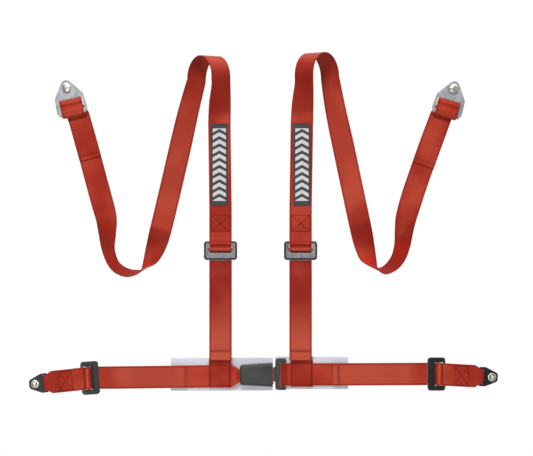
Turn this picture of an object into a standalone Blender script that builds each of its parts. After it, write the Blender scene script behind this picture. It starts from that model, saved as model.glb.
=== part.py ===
"""Four-point racing harness with 50 mm webbing, hung flat: front towards -Y, top towards +Z.

Lengths are in metres, measured from the buckle's centre. The finished harness is then placed with
the centre of its bounding box at the world's origin. "o" is a distance outboard from the buckle,
so a left-hand piece stands at X = -o and a right-hand piece at X = +o.
"""

import math

import bmesh
import bpy
from mathutils import Matrix, Vector

# The buckle's centre, from the centre of the whole harness
BUCKLE_AT = (-0.01544, -0.03393, -0.33872)

# Webbing
WEB_WIDTH = 0.050
WEB_THICK = 0.0014
LAYER_GAP = 0.0004
PITCH = WEB_THICK + LAYER_GAP
HALF_THICK = WEB_THICK / 2
BAR_CLEAR = 0.0006 + HALF_THICK

# Buckle
COVER_BACK = 0.0110
COVER_FRONT = -0.0130
PARTING = -0.0010
COVER_LEFT = -0.0365
COVER_RIGHT = 0.0367
SIDE_WALL = 0.0036
SKIN = 0.0018
BAR_X = -0.0330
BAR_Y = 0.0032
FRAME_THICK = 0.0024

# Tongue
TONGUE_THICK = 0.0022
TONGUE_BAR_X = 0.0590
TONGUE_BAR_HALF = 0.0036
TONGUE_COVER_HALF = 0.0020

# Sliding adjusters
ADJ_THICK = 0.0030
ADJ_WIDTH = 0.0740
ADJ_SLOT_HALF = 0.0272
CENTRE_BAR = 0.0060
INNER_SLOT = 0.0040
OUTER_BAR = 0.0056
FRAME_SET = ADJ_THICK / 2 + BAR_CLEAR + PITCH

# Anchors and bolts
PLATE_THICK = 0.0030
BOLT_RADIUS = 0.0055
BOLT_HOLE = 0.0061
REAR_HEM = 0.0075
SHOULDER_HEM = 0.0220

LAP_BAR_U = 0.0985  # from an adjuster's centre to its end plate's bar
LAP_BOLT_U = 0.0250  # from that bar to the bolt

# Shoulder anchor, measured up from its bolt, with the webbing's loop round its bar
ANCHOR_BAR_U = -0.0555
ANCHOR_BAR_HALF = 0.0055
LOOP_CROWN_U = -0.0330
LOOP_BASE_U = -0.0652
LOOP_FRONT = -0.0080
LOOP_BACK = 0.0058
LOOP_TAIL = 0.0040
LOOP_SHIFT = 0.0011
TAIL_SHIFT = 0.0098
TAIL_START = 0.0190

# Where each side's pieces stand, from the buckle's centre
SIDES = {
    "left": {
        "sign": -1,
        "lap_bar": (BAR_X, BAR_Y, -0.0030),
        "lap_end_half": 0.0142,
        "lap_loop": 0.0034,
        "lap_slope": -0.7,
        "lap_adjuster": 0.3380,
        "adjuster_slope": -4.0,
        "end_slope": -6.2,
        "lap_hem": 0.1235,
        "lap_flap": 0.0060,
        "fold_back": 0.0730,
        "patch": (0.0815, -0.0290, 0.0236),
        "strap_o": 0.0800,
        "label_o": 0.0825,
        "pad": (0.0470, 0.1915, 0.0380, -0.0365),
        "arch": (0.0790, 0.1370, 0.6630),
        "fall": [
            (0.1560, 0.082, 0.590, -22, 0),
            (0.1760, 0.082, 0.503, -6, 0),
            (0.1960, 0.082, 0.417, 0, 0),
            (0.2180, 0.081, 0.325, 5, 0),
            (0.2300, 0.078, 0.282, 25, -0.05),
            (0.2425, 0.071, 0.251, 51, -0.20),
            (0.2598, 0.062, 0.230, 90, -0.50),
            (0.2840, 0.053, 0.2245, 113, -0.40),
            (0.3069, 0.046, 0.232, 121, -0.10),
            (0.3232, 0.041, 0.2485, 125, 0),
            (0.3340, 0.038, 0.280, 131, 0),
            (0.3362, 0.037, 0.315, 147, 0),
            (0.3385, 0.036, 0.350, 166, 0),
            (0.3490, 0.037, 0.390, 180, 0),
            (0.3615, 0.0383, 0.436, 180, 0),
            (0.3815, 0.0383, 0.511, 180, 0),
        ],
        "meet": (0.4037, 0.0383, 0.5896),
        "anchor": (0.4265, 0.0325, 0.6417),
        "anchor_turn": 13.5,
        "hem_at": (0.3745, 0.4850),
    },
    "right": {
        "sign": 1,
        "lap_bar": (TONGUE_BAR_X, 0.0, 0.0004),
        "lap_end_half": WEB_WIDTH / 2,
        "lap_loop": 0.0052,
        "lap_slope": 0.25,
        "lap_adjuster": 0.3424,
        "adjuster_slope": 0.0,
        "end_slope": -3.2,
        "lap_hem": 0.1135,
        "lap_flap": 0.0140,
        "fold_back": 0.0680,
        "patch": (0.1012, -0.0268, 0.0277),
        "strap_o": 0.0985,
        "label_o": 0.1015,
        "pad": (0.0560, 0.2047, 0.0407, -0.0326),
        "arch": (0.1060, 0.1670, 0.6690),
        "fall": [
            (0.1800, 0.083, 0.596, -22, 0),
            (0.1995, 0.083, 0.505, -6, 0),
            (0.2170, 0.083, 0.422, 0, 0),
            (0.2375, 0.082, 0.326, 5, 0),
            (0.2467, 0.079, 0.283, 24, -0.05),
            (0.2545, 0.073, 0.2575, 42, -0.15),
            (0.2680, 0.064, 0.2360, 80, -0.45),
            (0.2860, 0.056, 0.2300, 112, -0.35),
            (0.3045, 0.050, 0.2400, 126, -0.10),
            (0.3200, 0.045, 0.2600, 134, 0),
            (0.3290, 0.041, 0.2890, 141, 0),
            (0.3325, 0.038, 0.3200, 151, 0),
            (0.3370, 0.036, 0.3500, 165, 0),
            (0.3500, 0.037, 0.3950, 180, 0),
            (0.3634, 0.0383, 0.4350, 180, 0),
            (0.3915, 0.0383, 0.5150, 180, 0),
        ],
        "meet": (0.4189, 0.0383, 0.5877),
        "anchor": (0.4430, 0.0325, 0.6390),
        "anchor_turn": 16.5,
        "hem_at": (0.3760, 0.4700),
    },
}

SHOULDER_FOLD_Z = 0.0420
SHOULDER_ADJ_Z = 0.2770
SHOULDER_HEM_Z = 0.0350
LABEL = (0.0380, 0.3766, 0.5605)
SEWN_TOP_Z = 0.3600
ARCH_DEPTH = 0.0860


# ---------------------------------------------------------------- basics


def clear_scene():
    for obj in list(bpy.data.objects):
        bpy.data.objects.remove(obj)


def make_material(name, colour, roughness, metallic=0.0):
    material = bpy.data.materials.new(name)
    material.use_nodes = True
    shader = material.node_tree.nodes["Principled BSDF"]
    shader.inputs["Base Color"].default_value = (*colour, 1.0)
    shader.inputs["Roughness"].default_value = roughness
    shader.inputs["Metallic"].default_value = metallic
    material.diffuse_color = (*colour, 1.0)
    return material


def make_materials():
    return {
        "webbing": make_material("red_webbing", (0.42, 0.030, 0.016), 0.75),
        "label": make_material("charcoal_label", (0.045, 0.050, 0.058), 0.60),
        "pad": make_material("silver_mesh_pad", (0.56, 0.55, 0.64), 0.55),
        "plastic": make_material("charcoal_plastic", (0.055, 0.055, 0.052), 0.50),
        "button": make_material("red_button_plastic", (0.45, 0.020, 0.018), 0.35),
        "black_steel": make_material("black_steel", (0.020, 0.020, 0.022), 0.40, 0.6),
        "zinc": make_material("zinc_plate", (0.52, 0.54, 0.57), 0.38, 1.0),
        "bolt": make_material("zinc_bolt", (0.74, 0.73, 0.66), 0.30, 1.0),
        "steel": make_material("bright_steel", (0.60, 0.60, 0.62), 0.28, 1.0),
        "spring": make_material("spring_wire", (0.45, 0.45, 0.47), 0.35, 1.0),
    }


class Pivot:
    """An empty on a joint's axis. Pieces of the moving body are parented to it."""

    def __init__(self, name, at, parent=None):
        self.at = Vector(at)
        self.empty = bpy.data.objects.new(name + "_pivot", None)
        bpy.context.scene.collection.objects.link(self.empty)
        self.empty.empty_display_size = 0.01
        self.empty.parent = parent.empty if parent else None
        self.empty.location = self.at - parent.at if parent else Vector(BUCKLE_AT)


class Frame:
    """Local axes: u along the webbing, v towards the back (+Y) and w across."""

    def __init__(self, origin, u):
        self.origin = Vector(origin)
        self.u = Vector(u).normalized()
        self.v = Vector((0, 1, 0))
        self.w = self.u.cross(self.v)

    def point(self, u, v, w=0.0):
        return self.origin + self.u * u + self.v * v + self.w * w


def direction(sign, degrees):
    """Outboard direction in the XZ plane, raised by an angle."""
    a = math.radians(degrees)
    return Vector((sign * math.cos(a), 0, math.sin(a)))


def finish_mesh(name, bm, material, pivot, smooth_angle=40):
    bmesh.ops.recalc_face_normals(bm, faces=bm.faces)
    bmesh.ops.translate(bm, verts=bm.verts, vec=-pivot.at)
    mesh = bpy.data.meshes.new(name)
    bm.to_mesh(mesh)
    bm.free()
    mesh.materials.append(material)
    mesh.shade_smooth()
    mesh.set_sharp_from_angle(angle=math.radians(smooth_angle))
    obj = bpy.data.objects.new(name, mesh)
    bpy.context.scene.collection.objects.link(obj)
    obj.parent = pivot.empty
    return obj


# ---------------------------------------------------------------- webbing


def rounded_path(points, radius, steps=4):
    """A 2D polyline whose inner corners are turned into arcs. radius is one value or one per corner."""
    radii = radius if isinstance(radius, (list, tuple)) else [radius] * (len(points) - 2)
    path = [Vector(points[0])]
    for before, corner, after, r in zip(points, points[1:], points[2:], radii):
        corner = Vector(corner)
        a = (Vector(before) - corner).normalized()
        b = (Vector(after) - corner).normalized()
        half = a.angle(b) / 2
        reach = r / math.tan(half)
        centre = corner + (a + b).normalized() * (r / math.sin(half))
        start = corner + a * reach - centre
        end = corner + b * reach - centre
        turn = start.angle_signed(end)
        for i in range(steps + 1):
            path.append(centre + start @ Matrix.Rotation(turn * i / steps, 2))
    path.append(Vector(points[-1]))
    return path


def half_circle(centre, radius, start_angle, turn, steps=8):
    """Points of an arc in the (u, v) plane."""
    return [
        Vector(centre)
        + Vector(
            (
                radius * math.cos(math.radians(start_angle + turn * i / steps)),
                radius * math.sin(math.radians(start_angle + turn * i / steps)),
            )
        )
        for i in range(steps + 1)
    ]


def ribbon(name, stations, material, pivot, thick=WEB_THICK):
    """Sweep a flat rectangular section. Each station is (centre, half-width vector)."""
    bm = bmesh.new()
    rings = []
    for i, (centre, side) in enumerate(stations):
        before = stations[max(i - 1, 0)][0]
        after = stations[min(i + 1, len(stations) - 1)][0]
        normal = (after - before).cross(side).normalized() * (thick / 2)
        corners = (side + normal, normal - side, -side - normal, side - normal)
        rings.append([bm.verts.new(centre + c) for c in corners])
    for low, high in zip(rings, rings[1:]):
        join_rings(bm, low, high)
    bm.faces.new(rings[0])
    bm.faces.new(reversed(rings[-1]))
    return finish_mesh(name, bm, material, pivot)


def join_rings(bm, low, high):
    """Walls between two four-cornered rings. Both wide faces are split along the same diagonal, so a
    twisted strap keeps its thickness."""
    bm.faces.new((low[0], low[1], high[1]))
    bm.faces.new((low[0], high[1], high[0]))
    bm.faces.new((low[3], high[3], high[2]))
    bm.faces.new((low[3], high[2], low[2]))
    bm.faces.new((low[1], low[2], high[2], high[1]))
    bm.faces.new((low[3], low[0], high[0], high[3]))


def in_frame(frame, path, half_width, w=0.0):
    """Stations of a path given as (u, v) points in a frame. half_width is a number or a function of u."""
    width = half_width if callable(half_width) else lambda u: half_width
    return [(frame.point(p[0], p[1], w), frame.w * width(p[0])) for p in path]


def taper(narrow, wide, start, end):
    """Half width that grows from narrow at u = start to wide at u = end."""

    def half_width(u):
        share = min(max((u - start) / (end - start), 0.0), 1.0)
        return narrow + (wide - narrow) * share

    return half_width


def catmull(keys, samples):
    """Smooth curve through keys (equal-length tuples), with its value and slope at each sample."""
    rows = [Vector(k) for k in keys]
    rows = [2 * rows[0] - rows[1]] + rows + [2 * rows[-1] - rows[-2]]
    found = []
    for a, b, c, d in zip(rows, rows[1:], rows[2:], rows[3:]):
        for i in range(samples):
            t = i / samples
            value = 0.5 * (
                2 * b + (c - a) * t + (2 * a - 5 * b + 4 * c - d) * t * t + (3 * b - a - 3 * c + d) * t**3
            )
            slope = 0.5 * (
                (c - a) + 2 * (2 * a - 5 * b + 4 * c - d) * t + 3 * (3 * b - a - 3 * c + d) * t * t
            )
            found.append((value, slope))
    return found


# ---------------------------------------------------------------- plates, turned parts, springs


def loop_edges(bm, points):
    verts = [bm.verts.new(p) for p in points]
    return [bm.edges.new((a, b)) for a, b in zip(verts, verts[1:] + verts[:1])]


def plate(name, frame, outline, holes, v_range, material, pivot):
    """A flat plate in a frame's (u, w) plane, with through holes."""
    bm = bmesh.new()
    edges = []
    for loop in [outline] + holes:
        edges += loop_edges(bm, [frame.point(u, v_range[0], w) for u, w in loop])
    bmesh.ops.triangle_fill(bm, use_beauty=True, edges=edges, normal=frame.v)
    raised = bmesh.ops.extrude_face_region(bm, geom=bm.faces[:])
    moved = [g for g in raised["geom"] if isinstance(g, bmesh.types.BMVert)]
    bmesh.ops.translate(bm, verts=moved, vec=frame.v * (v_range[1] - v_range[0]))
    return finish_mesh(name, bm, material, pivot)


def circle(radius, centre=(0.0, 0.0), count=20):
    turns = [2 * math.pi * i / count for i in range(count)]
    return [(centre[0] + radius * math.cos(a), centre[1] + radius * math.sin(a)) for a in turns]


def box_outline(u0, u1, w0, w1, radius=0.0, steps=3):
    """A rectangle with rounded corners."""
    if not radius:
        return [(u0, w0), (u1, w0), (u1, w1), (u0, w1)]
    centres = [
        (u1 - radius, w1 - radius, 0),
        (u0 + radius, w1 - radius, 90),
        (u0 + radius, w0 + radius, 180),
        (u1 - radius, w0 + radius, 270),
    ]
    points = []
    for u, w, start in centres:
        for i in range(steps + 1):
            a = math.radians(start + 90 * i / steps)
            points.append((u + radius * math.cos(a), w + radius * math.sin(a)))
    return points


def rounded_outline(corners, steps=4):
    """A closed outline from (u, w, radius) corners."""
    points = []
    count = len(corners)
    for i, (u, w, radius) in enumerate(corners):
        before, after = corners[i - 1], corners[(i + 1) % count]
        path = rounded_path([before[:2], (u, w), after[:2]], radius, steps)
        points += [tuple(p) for p in path[1:-1]]
    return points


def turned(name, centre, axis, profile, material, pivot, count=24):
    """A solid of revolution. profile holds (radius, height, is_hex) from one end to the other;
    a radius of 0 closes the end on the axis."""
    to_axis = Vector(axis).to_track_quat("Z", "Y").to_matrix()
    bm = bmesh.new()
    rings = []
    for radius, height, is_hex in profile:
        if radius == 0:
            rings.append([bm.verts.new(Vector(centre) + to_axis @ Vector((0, 0, height)))])
            continue
        ring = []
        for i in range(count):
            a = 2 * math.pi * i / count
            r = radius
            if is_hex:
                r = radius / math.cos((a + math.pi / 6) % (math.pi / 3) - math.pi / 6)
            at = Vector((r * math.cos(a), r * math.sin(a), height))
            ring.append(bm.verts.new(Vector(centre) + to_axis @ at))
        rings.append(ring)
    closed = profile[0][0] != 0
    pairs = list(zip(rings, rings[1:])) + ([(rings[-1], rings[0])] if closed else [])
    for low, high in pairs:
        for i in range(count):
            j = (i + 1) % count
            if len(low) == 1:
                bm.faces.new((low[0], high[j], high[i]))
            elif len(high) == 1:
                bm.faces.new((low[i], low[j], high[0]))
            else:
                bm.faces.new((low[i], low[j], high[j], high[i]))
    return finish_mesh(name, bm, material, pivot)


def coil(name, start, end, radius, wire, turns, material, pivot):
    """A compression spring between two points."""
    start, end = Vector(start), Vector(end)
    to_axis = (end - start).to_track_quat("Z", "Y").to_matrix()
    length = (end - start).length
    per_turn, sides = 10, 5
    steps = int(turns * per_turn)
    bm = bmesh.new()
    rings = []
    for i in range(steps + 1):
        a = 2 * math.pi * i / per_turn
        out = Vector((math.cos(a), math.sin(a), 0))
        mid = out * radius + Vector((0, 0, wire + (length - 2 * wire) * i / steps))
        ring = []
        for k in range(sides):
            b = 2 * math.pi * k / sides
            at = mid + out * (wire * math.cos(b)) + Vector((0, 0, wire * math.sin(b)))
            ring.append(bm.verts.new(start + to_axis @ at))
        rings.append(ring)
    for low, high in zip(rings, rings[1:]):
        for k in range(sides):
            bm.faces.new((low[k], low[(k + 1) % sides], high[(k + 1) % sides], high[k]))
    bm.faces.new(rings[0])
    bm.faces.new(reversed(rings[-1]))
    return finish_mesh(name, bm, material, pivot)


def block(bm, low, high):
    """Add a closed box between two corners."""
    made = bmesh.ops.create_cube(bm, size=1.0)["verts"]
    size = Vector(high) - Vector(low)
    middle = (Vector(high) + Vector(low)) / 2
    for vert in made:
        vert.co = Vector(a * b for a, b in zip(vert.co, size)) + middle


def cut(obj, name, low, high, pivot):
    """Cut a box out of an object."""
    bm = bmesh.new()
    block(bm, low, high)
    cutter = finish_mesh(name, bm, obj.data.materials[0], pivot)
    subtract(obj, cutter)


def subtract(obj, cutter):
    cutter.hide_render = True
    cutter.display_type = "WIRE"
    cutter.hide_set(True)
    modifier = obj.modifiers.new("cut_" + cutter.name, "BOOLEAN")
    modifier.operation = "DIFFERENCE"
    modifier.object = cutter


# ---------------------------------------------------------------- buckle


def cover_outline(inset=0.0):
    """The buckle seen from the front, as (x, z): rounded at the strap end, wider at the mouth."""
    left, right = COVER_LEFT + inset, COVER_RIGHT - inset
    top_left, top_right = 0.0215 - inset, 0.0262 - inset
    low_left, low_right = -0.0225 + inset, -0.0262 + inset
    corners = [
        (left, low_left, 0.0055),
        (right, low_right, 0.0020),
        (right, top_right, 0.0020),
        (left, top_left, 0.0055),
    ]
    return rounded_outline(corners)


def cover(name, y_face, y_parting, material, pivot):
    """One half of the buckle's casing: a tray with a soft edge, open at the mouth."""
    depth = y_face - y_parting
    levels = [(0.0, 0.0), (0.55, 0.0), (0.85, 0.0008), (1.0, 0.0026)]
    bm = bmesh.new()
    rings = []
    for share, inset in levels:
        y = y_parting + depth * share
        rings.append([bm.verts.new((x, y, z)) for x, z in cover_outline(inset)])
    for low, high in zip(rings, rings[1:]):
        for i in range(len(low)):
            j = (i + 1) % len(low)
            bm.faces.new((low[i], low[j], high[j], high[i]))
    bm.faces.new(rings[0])
    bm.faces.new(reversed(rings[-1]))
    tray = finish_mesh(name, bm, material, pivot)
    wall = 0.0262 - SIDE_WALL
    skin = math.copysign(SKIN, depth)
    past = math.copysign(0.002, depth)
    ends = sorted((y_parting - past, y_face - skin))
    cavity = rounded_outline(
        [
            (COVER_LEFT + 0.0012, -0.0202, 0.002),
            (COVER_RIGHT + 0.0020, -wall, 0.001),
            (COVER_RIGHT + 0.0020, wall, 0.001),
            (COVER_LEFT + 0.0012, 0.0180, 0.002),
        ]
    )
    flat = Frame((0, 0, 0), (1, 0, 0))
    cutter = plate(name + "_cavity", flat, cavity, [], ends, material, pivot)
    subtract(tray, cutter)
    return tray


def buckle(materials, pivot):
    front = cover("buckle_front_cover", COVER_FRONT, PARTING - 0.0002, materials["plastic"], pivot)
    back = cover("buckle_rear_cover", COVER_BACK, PARTING + 0.0002, materials["plastic"], pivot)
    mouth = ((COVER_LEFT - 0.002, -0.0036, -0.0192), (COVER_LEFT + 0.004, 0.0, 0.0132))
    cut(front, "front_strap_opening", mouth[0], mouth[1], pivot)
    mouth = ((COVER_LEFT - 0.002, -0.0030, -0.0192), (COVER_LEFT + 0.004, 0.0093, 0.0132))
    cut(back, "rear_strap_opening", mouth[0], mouth[1], pivot)
    for name, z in (("upper", 0.0216), ("lower", -0.0216)):
        at = (0.0180, 0.0, z * 1.12)
        hole = turned(
            f"{name}_screw_hole",
            at,
            (0, -1, 0),
            [(0, -0.0130, 0), (0.0021, -0.0130, 0), (0.0021, -0.0088, 0), (0.0013, -0.0088, 0)]
            + [(0.0013, 0.0090, 0), (0, 0.0090, 0)],
            materials["steel"],
            pivot,
            12,
        )
        subtract(back, hole)
        subtract(front, hole)
        turned(
            f"cover_screw_{name}",
            at,
            (0, -1, 0),
            [(0, -0.0108, 0), (0.0018, -0.0108, 0), (0.0018, -0.0091, 0), (0.0010, -0.0091, 0)]
            + [(0.0010, 0.0086, 0), (0, 0.0086, 0)],
            materials["steel"],
            pivot,
            12,
        )
    flat = Frame((0, 0, 0), (1, 0, 0))
    bar = 0.0020
    outline = box_outline(BAR_X - bar, 0.0300, -0.0196, 0.0172, 0.0015)
    slot = box_outline(BAR_X + bar, BAR_X + bar + 0.0060, -0.0178, 0.0118)
    window = box_outline(0.0050, 0.0110, -0.0060, 0.0060)
    low = BAR_Y - FRAME_THICK / 2
    span = (low, low + FRAME_THICK)
    plate("buckle_frame", flat, outline, [slot, window], span, materials["steel"], pivot)


def button(materials, pivot):
    bm = bmesh.new()
    block(bm, (0.0150, -0.0105, -0.0202), (0.0386, -0.0036, 0.0172))
    outer_edges = [e for e in bm.edges if all(v.co.x > 0.038 for v in e.verts)]
    bmesh.ops.bevel(bm, geom=outer_edges, offset=0.0007, segments=2, affect="EDGES")
    finish_mesh("release_button", bm, materials["button"], pivot)


def latch(materials, pivot):
    """A lifting plate whose tooth stands over the tongue's window."""
    bm = bmesh.new()
    profile = [(-0.0060, -0.0031), (0.0098, -0.0031), (0.0098, -0.0016), (0.0062, -0.0016)]
    profile += [(0.0062, -0.0022), (-0.0060, -0.0022)]
    low = [bm.verts.new((x, y, -0.0055)) for x, y in profile]
    high = [bm.verts.new((x, y, 0.0055)) for x, y in profile]
    count = len(profile)
    for i in range(count):
        j = (i + 1) % count
        bm.faces.new((low[i], low[j], high[j], high[i]))
    bm.faces.new(low)
    bm.faces.new(reversed(high))
    finish_mesh("latch_plate", bm, materials["steel"], pivot)


def buckle_inside(materials, pivots):
    button(materials, pivots["button"])
    latch(materials, pivots["latch"])
    bm = bmesh.new()
    block(bm, (-0.0120, -0.0012, -0.0060), (0.0015, 0.0012, 0.0060))
    finish_mesh("ejector", bm, materials["plastic"], pivots["ejector"])
    wire = materials["spring"]
    root = pivots["buckle"]
    coil("latch_spring", (0.0, -0.0108, 0), (0.0, -0.0034, 0), 0.0026, 0.0004, 4, wire, root)
    coil("ejector_spring", (-0.0270, 0, 0), (-0.0123, 0, 0), 0.0013, 0.0003, 6, wire, root)
    start = Vector((-0.0020, -0.0070, 0.0120))
    end = Vector((0.0147, -0.0070, 0.0120))
    coil("button_spring", start, end, 0.0022, 0.0004, 5, wire, root)


def tongue(materials, pivot):
    """A steel blade with its slot, and the moulded cover around the slot."""
    flat = Frame((0, 0, 0), (1, 0, 0))
    bar = TONGUE_BAR_X
    half = TONGUE_BAR_HALF
    blade = [
        (0.0020, -0.0100, 0.0030),
        (0.0440, -0.0130, 0.0010),
        (0.0450, -0.0300, 0.0020),
        (bar + 0.0020, -0.0300, 0.0020),
        (bar + 0.0020, 0.0300, 0.0020),
        (0.0450, 0.0300, 0.0020),
        (0.0440, 0.0150, 0.0010),
        (0.0020, 0.0100, 0.0030),
    ]
    slot = box_outline(bar - half - 0.0035 - 0.0020, bar - half + 0.0020, -0.0272, 0.0277)
    window = box_outline(0.0055, 0.0105, -0.0062, 0.0062)
    outline = rounded_outline(blade, 2)
    span = (-TONGUE_THICK / 2, TONGUE_THICK / 2)
    plate("tongue_plate", flat, outline, [slot, window], span, materials["steel"], pivot)
    skirt = [
        (0.0390, -0.0155, 0.0012),
        (0.0420, -0.0160, 0.0015),
        (0.0432, -0.0340, 0.0035),
        (0.0662, -0.0345, 0.0035),
        (0.0665, -0.0265, 0.0010),
        (bar + half, -0.0262, 0.0010),
        (bar + half, 0.0262, 0.0010),
        (0.0665, 0.0265, 0.0010),
        (0.0662, 0.0365, 0.0035),
        (0.0432, 0.0360, 0.0035),
        (0.0420, 0.0180, 0.0015),
        (0.0390, 0.0170, 0.0012),
    ]
    opening = box_outline(bar - half - 0.0035, bar - half, -0.0262, 0.0267)
    shell = rounded_outline(skirt, 2)
    thick = (-TONGUE_COVER_HALF, TONGUE_COVER_HALF)
    made = plate("tongue_cover", flat, shell, [opening], thick, materials["plastic"], pivot)
    gap = 0.0003
    hollow = [
        (0.0300, -0.0133, 0.0010),
        (0.0437, -0.0133, 0.0005),
        (0.0447, -0.0304, 0.0010),
        (bar + 0.0024, -0.0304, 0.0010),
        (bar + 0.0024, 0.0304, 0.0010),
        (0.0447, 0.0304, 0.0010),
        (0.0437, 0.0154, 0.0005),
        (0.0300, 0.0140, 0.0010),
    ]
    inner = box_outline(bar - half - 0.0035 - 0.0016, bar - half + 0.0016, -0.0268, 0.0273)
    span = (span[0] - gap, span[1] + gap)
    cutter = plate(
        "tongue_cavity", flat, rounded_outline(hollow, 2), [inner], span, materials["plastic"], pivot
    )
    subtract(made, cutter)


# ---------------------------------------------------------------- adjusters


def adjuster_bars(inner_bar, outer_slot):
    """The u positions of the bars of an adjuster centred on u = 0."""
    total = inner_bar + INNER_SLOT + CENTRE_BAR + outer_slot + OUTER_BAR
    inner = -total / 2
    centre = inner + inner_bar + INNER_SLOT
    return {
        "inner": inner,
        "inner_end": inner + inner_bar,
        "centre": centre,
        "centre_end": centre + CENTRE_BAR,
        "outer": total / 2 - OUTER_BAR,
        "end": total / 2,
    }


def adjuster(name, frame, bars, material, pivot):
    half = ADJ_WIDTH / 2
    outline = box_outline(bars["inner"], bars["end"], -half, half, 0.0070, 4)
    slots = [
        box_outline(bars["inner_end"], bars["centre"], -ADJ_SLOT_HALF, ADJ_SLOT_HALF),
        box_outline(bars["centre_end"], bars["outer"], -ADJ_SLOT_HALF, ADJ_SLOT_HALF),
    ]
    thick = ADJ_THICK / 2
    plate(name, frame, outline, slots, (-thick, thick), material, pivot)


def strap_turn(name, frame, bars, material, pivot):
    """The webbing threaded behind the centre bar, over it and back under the inner bar."""
    back = FRAME_SET
    tail = FRAME_SET - PITCH
    start = bars["inner"] + 0.0001
    points = [
        (start, back),
        (bars["centre_end"] + BAR_CLEAR, back),
        (bars["centre_end"] + BAR_CLEAR, -BAR_CLEAR - ADJ_THICK / 2),
        (bars["centre"] - BAR_CLEAR, -BAR_CLEAR - ADJ_THICK / 2),
        (bars["centre"] - BAR_CLEAR, tail),
        (start, tail),
    ]
    path = rounded_path(points, 0.0018, 4)
    ribbon(name, in_frame(frame, path, WEB_WIDTH / 2), material, pivot)


def skewed(frame, end_w):
    """The half-width vector of a strap's end that is cut parallel to another direction."""
    return end_w * (WEB_WIDTH / 2 / frame.w.dot(end_w))


def strap_tail(name, frame, bars, end_w, length, drop, hem, material, pivot):
    """The free end that hangs in front of the fixed layer, ending in a doubled hem."""
    tail = FRAME_SET - PITCH
    start = bars["inner"] - 0.0003
    free = tail - drop
    end = start - length
    points = [(start, tail), (start - 0.012, tail), (start - 0.036, free), (end, free)]
    path = rounded_path(points, 0.030, 3)
    path += half_circle((end, free - PITCH / 2), PITCH / 2, 90, 180, 4)[1:]
    path.append(Vector((end + hem, free - PITCH)))
    stations = in_frame(frame, path, WEB_WIDTH / 2)
    stations[0] = (stations[0][0], skewed(frame, end_w))
    ribbon(name, stations, material, pivot)


# ---------------------------------------------------------------- lap belt


def lap_strap(side, spec, frame, reach, end_w, material, pivot):
    """From the fold sewn behind the patch, round the bar, and out to the adjuster."""
    loop = spec["lap_loop"]
    lay = PITCH / 2
    blend = loop * 2.6
    path = [Vector((spec["fold_back"], lay)), Vector((blend + 0.004, lay)), Vector((blend, lay))]
    path += half_circle((0, 0), loop, 60, 240, 12)
    path += [Vector((blend, -lay)), Vector((blend + 0.004, -lay)), Vector((reach, -lay))]
    if spec["lap_end_half"] < WEB_WIDTH / 2:
        width = taper(spec["lap_end_half"], WEB_WIDTH / 2, 0.0050, 0.0230)
        path.insert(1, Vector((0.0230, lay)))
        path.insert(-1, Vector((0.0230, -lay)))
    else:
        width = WEB_WIDTH / 2
    stations = in_frame(frame, path, width)
    stations[-1] = (stations[-1][0], skewed(frame, end_w))
    ribbon(f"{side}_lap_strap", stations, material, pivot)


def end_loop(side, frame, bars, bar_u, slack, narrow, material, pivot):
    """The short sewn loop from the adjuster's outer bar to the anchor plate's slot."""
    clear = ADJ_THICK / 2 + BAR_CLEAR
    lay = PITCH / 2
    turn_in = bars["outer"] - BAR_CLEAR - slack
    open_v = 0.0035
    turn_out = bar_u + 0.0037 + BAR_CLEAR + 0.0004
    points = [
        (0.0800, -lay - PITCH),
        (0.0360, -lay - PITCH),
        (bars["end"] + 0.0040, -clear - 0.0004),
        (turn_in, -clear - 0.0004),
        (turn_in, clear),
        (bars["end"] + 0.0040, clear),
        (0.0360, lay),
        (bar_u - 0.0140, lay),
        (bar_u - 0.0050, open_v),
        (turn_out, open_v),
        (turn_out, -open_v),
        (bar_u - 0.0050, -open_v),
        (bar_u - 0.0140, -lay),
        (0.0400, -lay),
    ]
    radii = [0.01, 0.004, 0.0018, 0.0018, 0.004, 0.01, 0.008, 0.006, 0.0030, 0.0030, 0.006, 0.008]
    path = rounded_path(points, radii, 3)
    width = taper(WEB_WIDTH / 2, narrow, bar_u - 0.0130, bar_u + 0.0010)
    ribbon(f"{side}_lap_end_loop", in_frame(frame, path, width), material, pivot)


def lap_anchor(side, frame, bar_u, materials, pivot, bolt_pivot):
    """The black end plate, with the bolt through it and its collar at the front."""
    bolt_u = bar_u + LAP_BOLT_U
    hw = 0.0215
    outline = rounded_outline(
        [
            (bar_u - 0.0037, -hw, 0.0030),
            (bar_u + 0.0110, -hw, 0.0100),
            (bolt_u + 0.0175, -0.0100, 0.0105),
            (bolt_u + 0.0175, 0.0100, 0.0105),
            (bar_u + 0.0110, hw, 0.0100),
            (bar_u - 0.0037, hw, 0.0030),
        ]
    )
    slot = box_outline(bar_u + 0.0037, bar_u + 0.0078, -0.0180, 0.0180)
    hole = circle(BOLT_HOLE, (bolt_u, 0.0))
    span = (-PLATE_THICK / 2, PLATE_THICK / 2)
    plate(f"{side}_lap_anchor_plate", frame, outline, [slot, hole], span, materials["black_steel"], pivot)
    centre = frame.point(bolt_u, 0)
    turned(
        f"{side}_lap_bolt",
        centre,
        (0, -1, 0),
        [(0, -0.0090, 0), (0.0075, -0.0090, 0), (0.0085, -0.0080, 1), (0.0085, -0.0018, 1)]
        + [(BOLT_RADIUS, -0.0018, 0), (BOLT_RADIUS, 0.0205, 0), (0.0042, 0.0222, 0), (0, 0.0222, 0)],
        materials["bolt"],
        bolt_pivot,
    )
    turned(
        f"{side}_lap_bolt_collar",
        centre,
        (0, -1, 0),
        [(0.0058, 0.0018, 0), (0.0096, 0.0018, 0), (0.0096, 0.0062, 0)]
        + [(0.0088, 0.0070, 0), (0.0058, 0.0070, 0)],
        materials["bolt"],
        bolt_pivot,
    )


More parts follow.
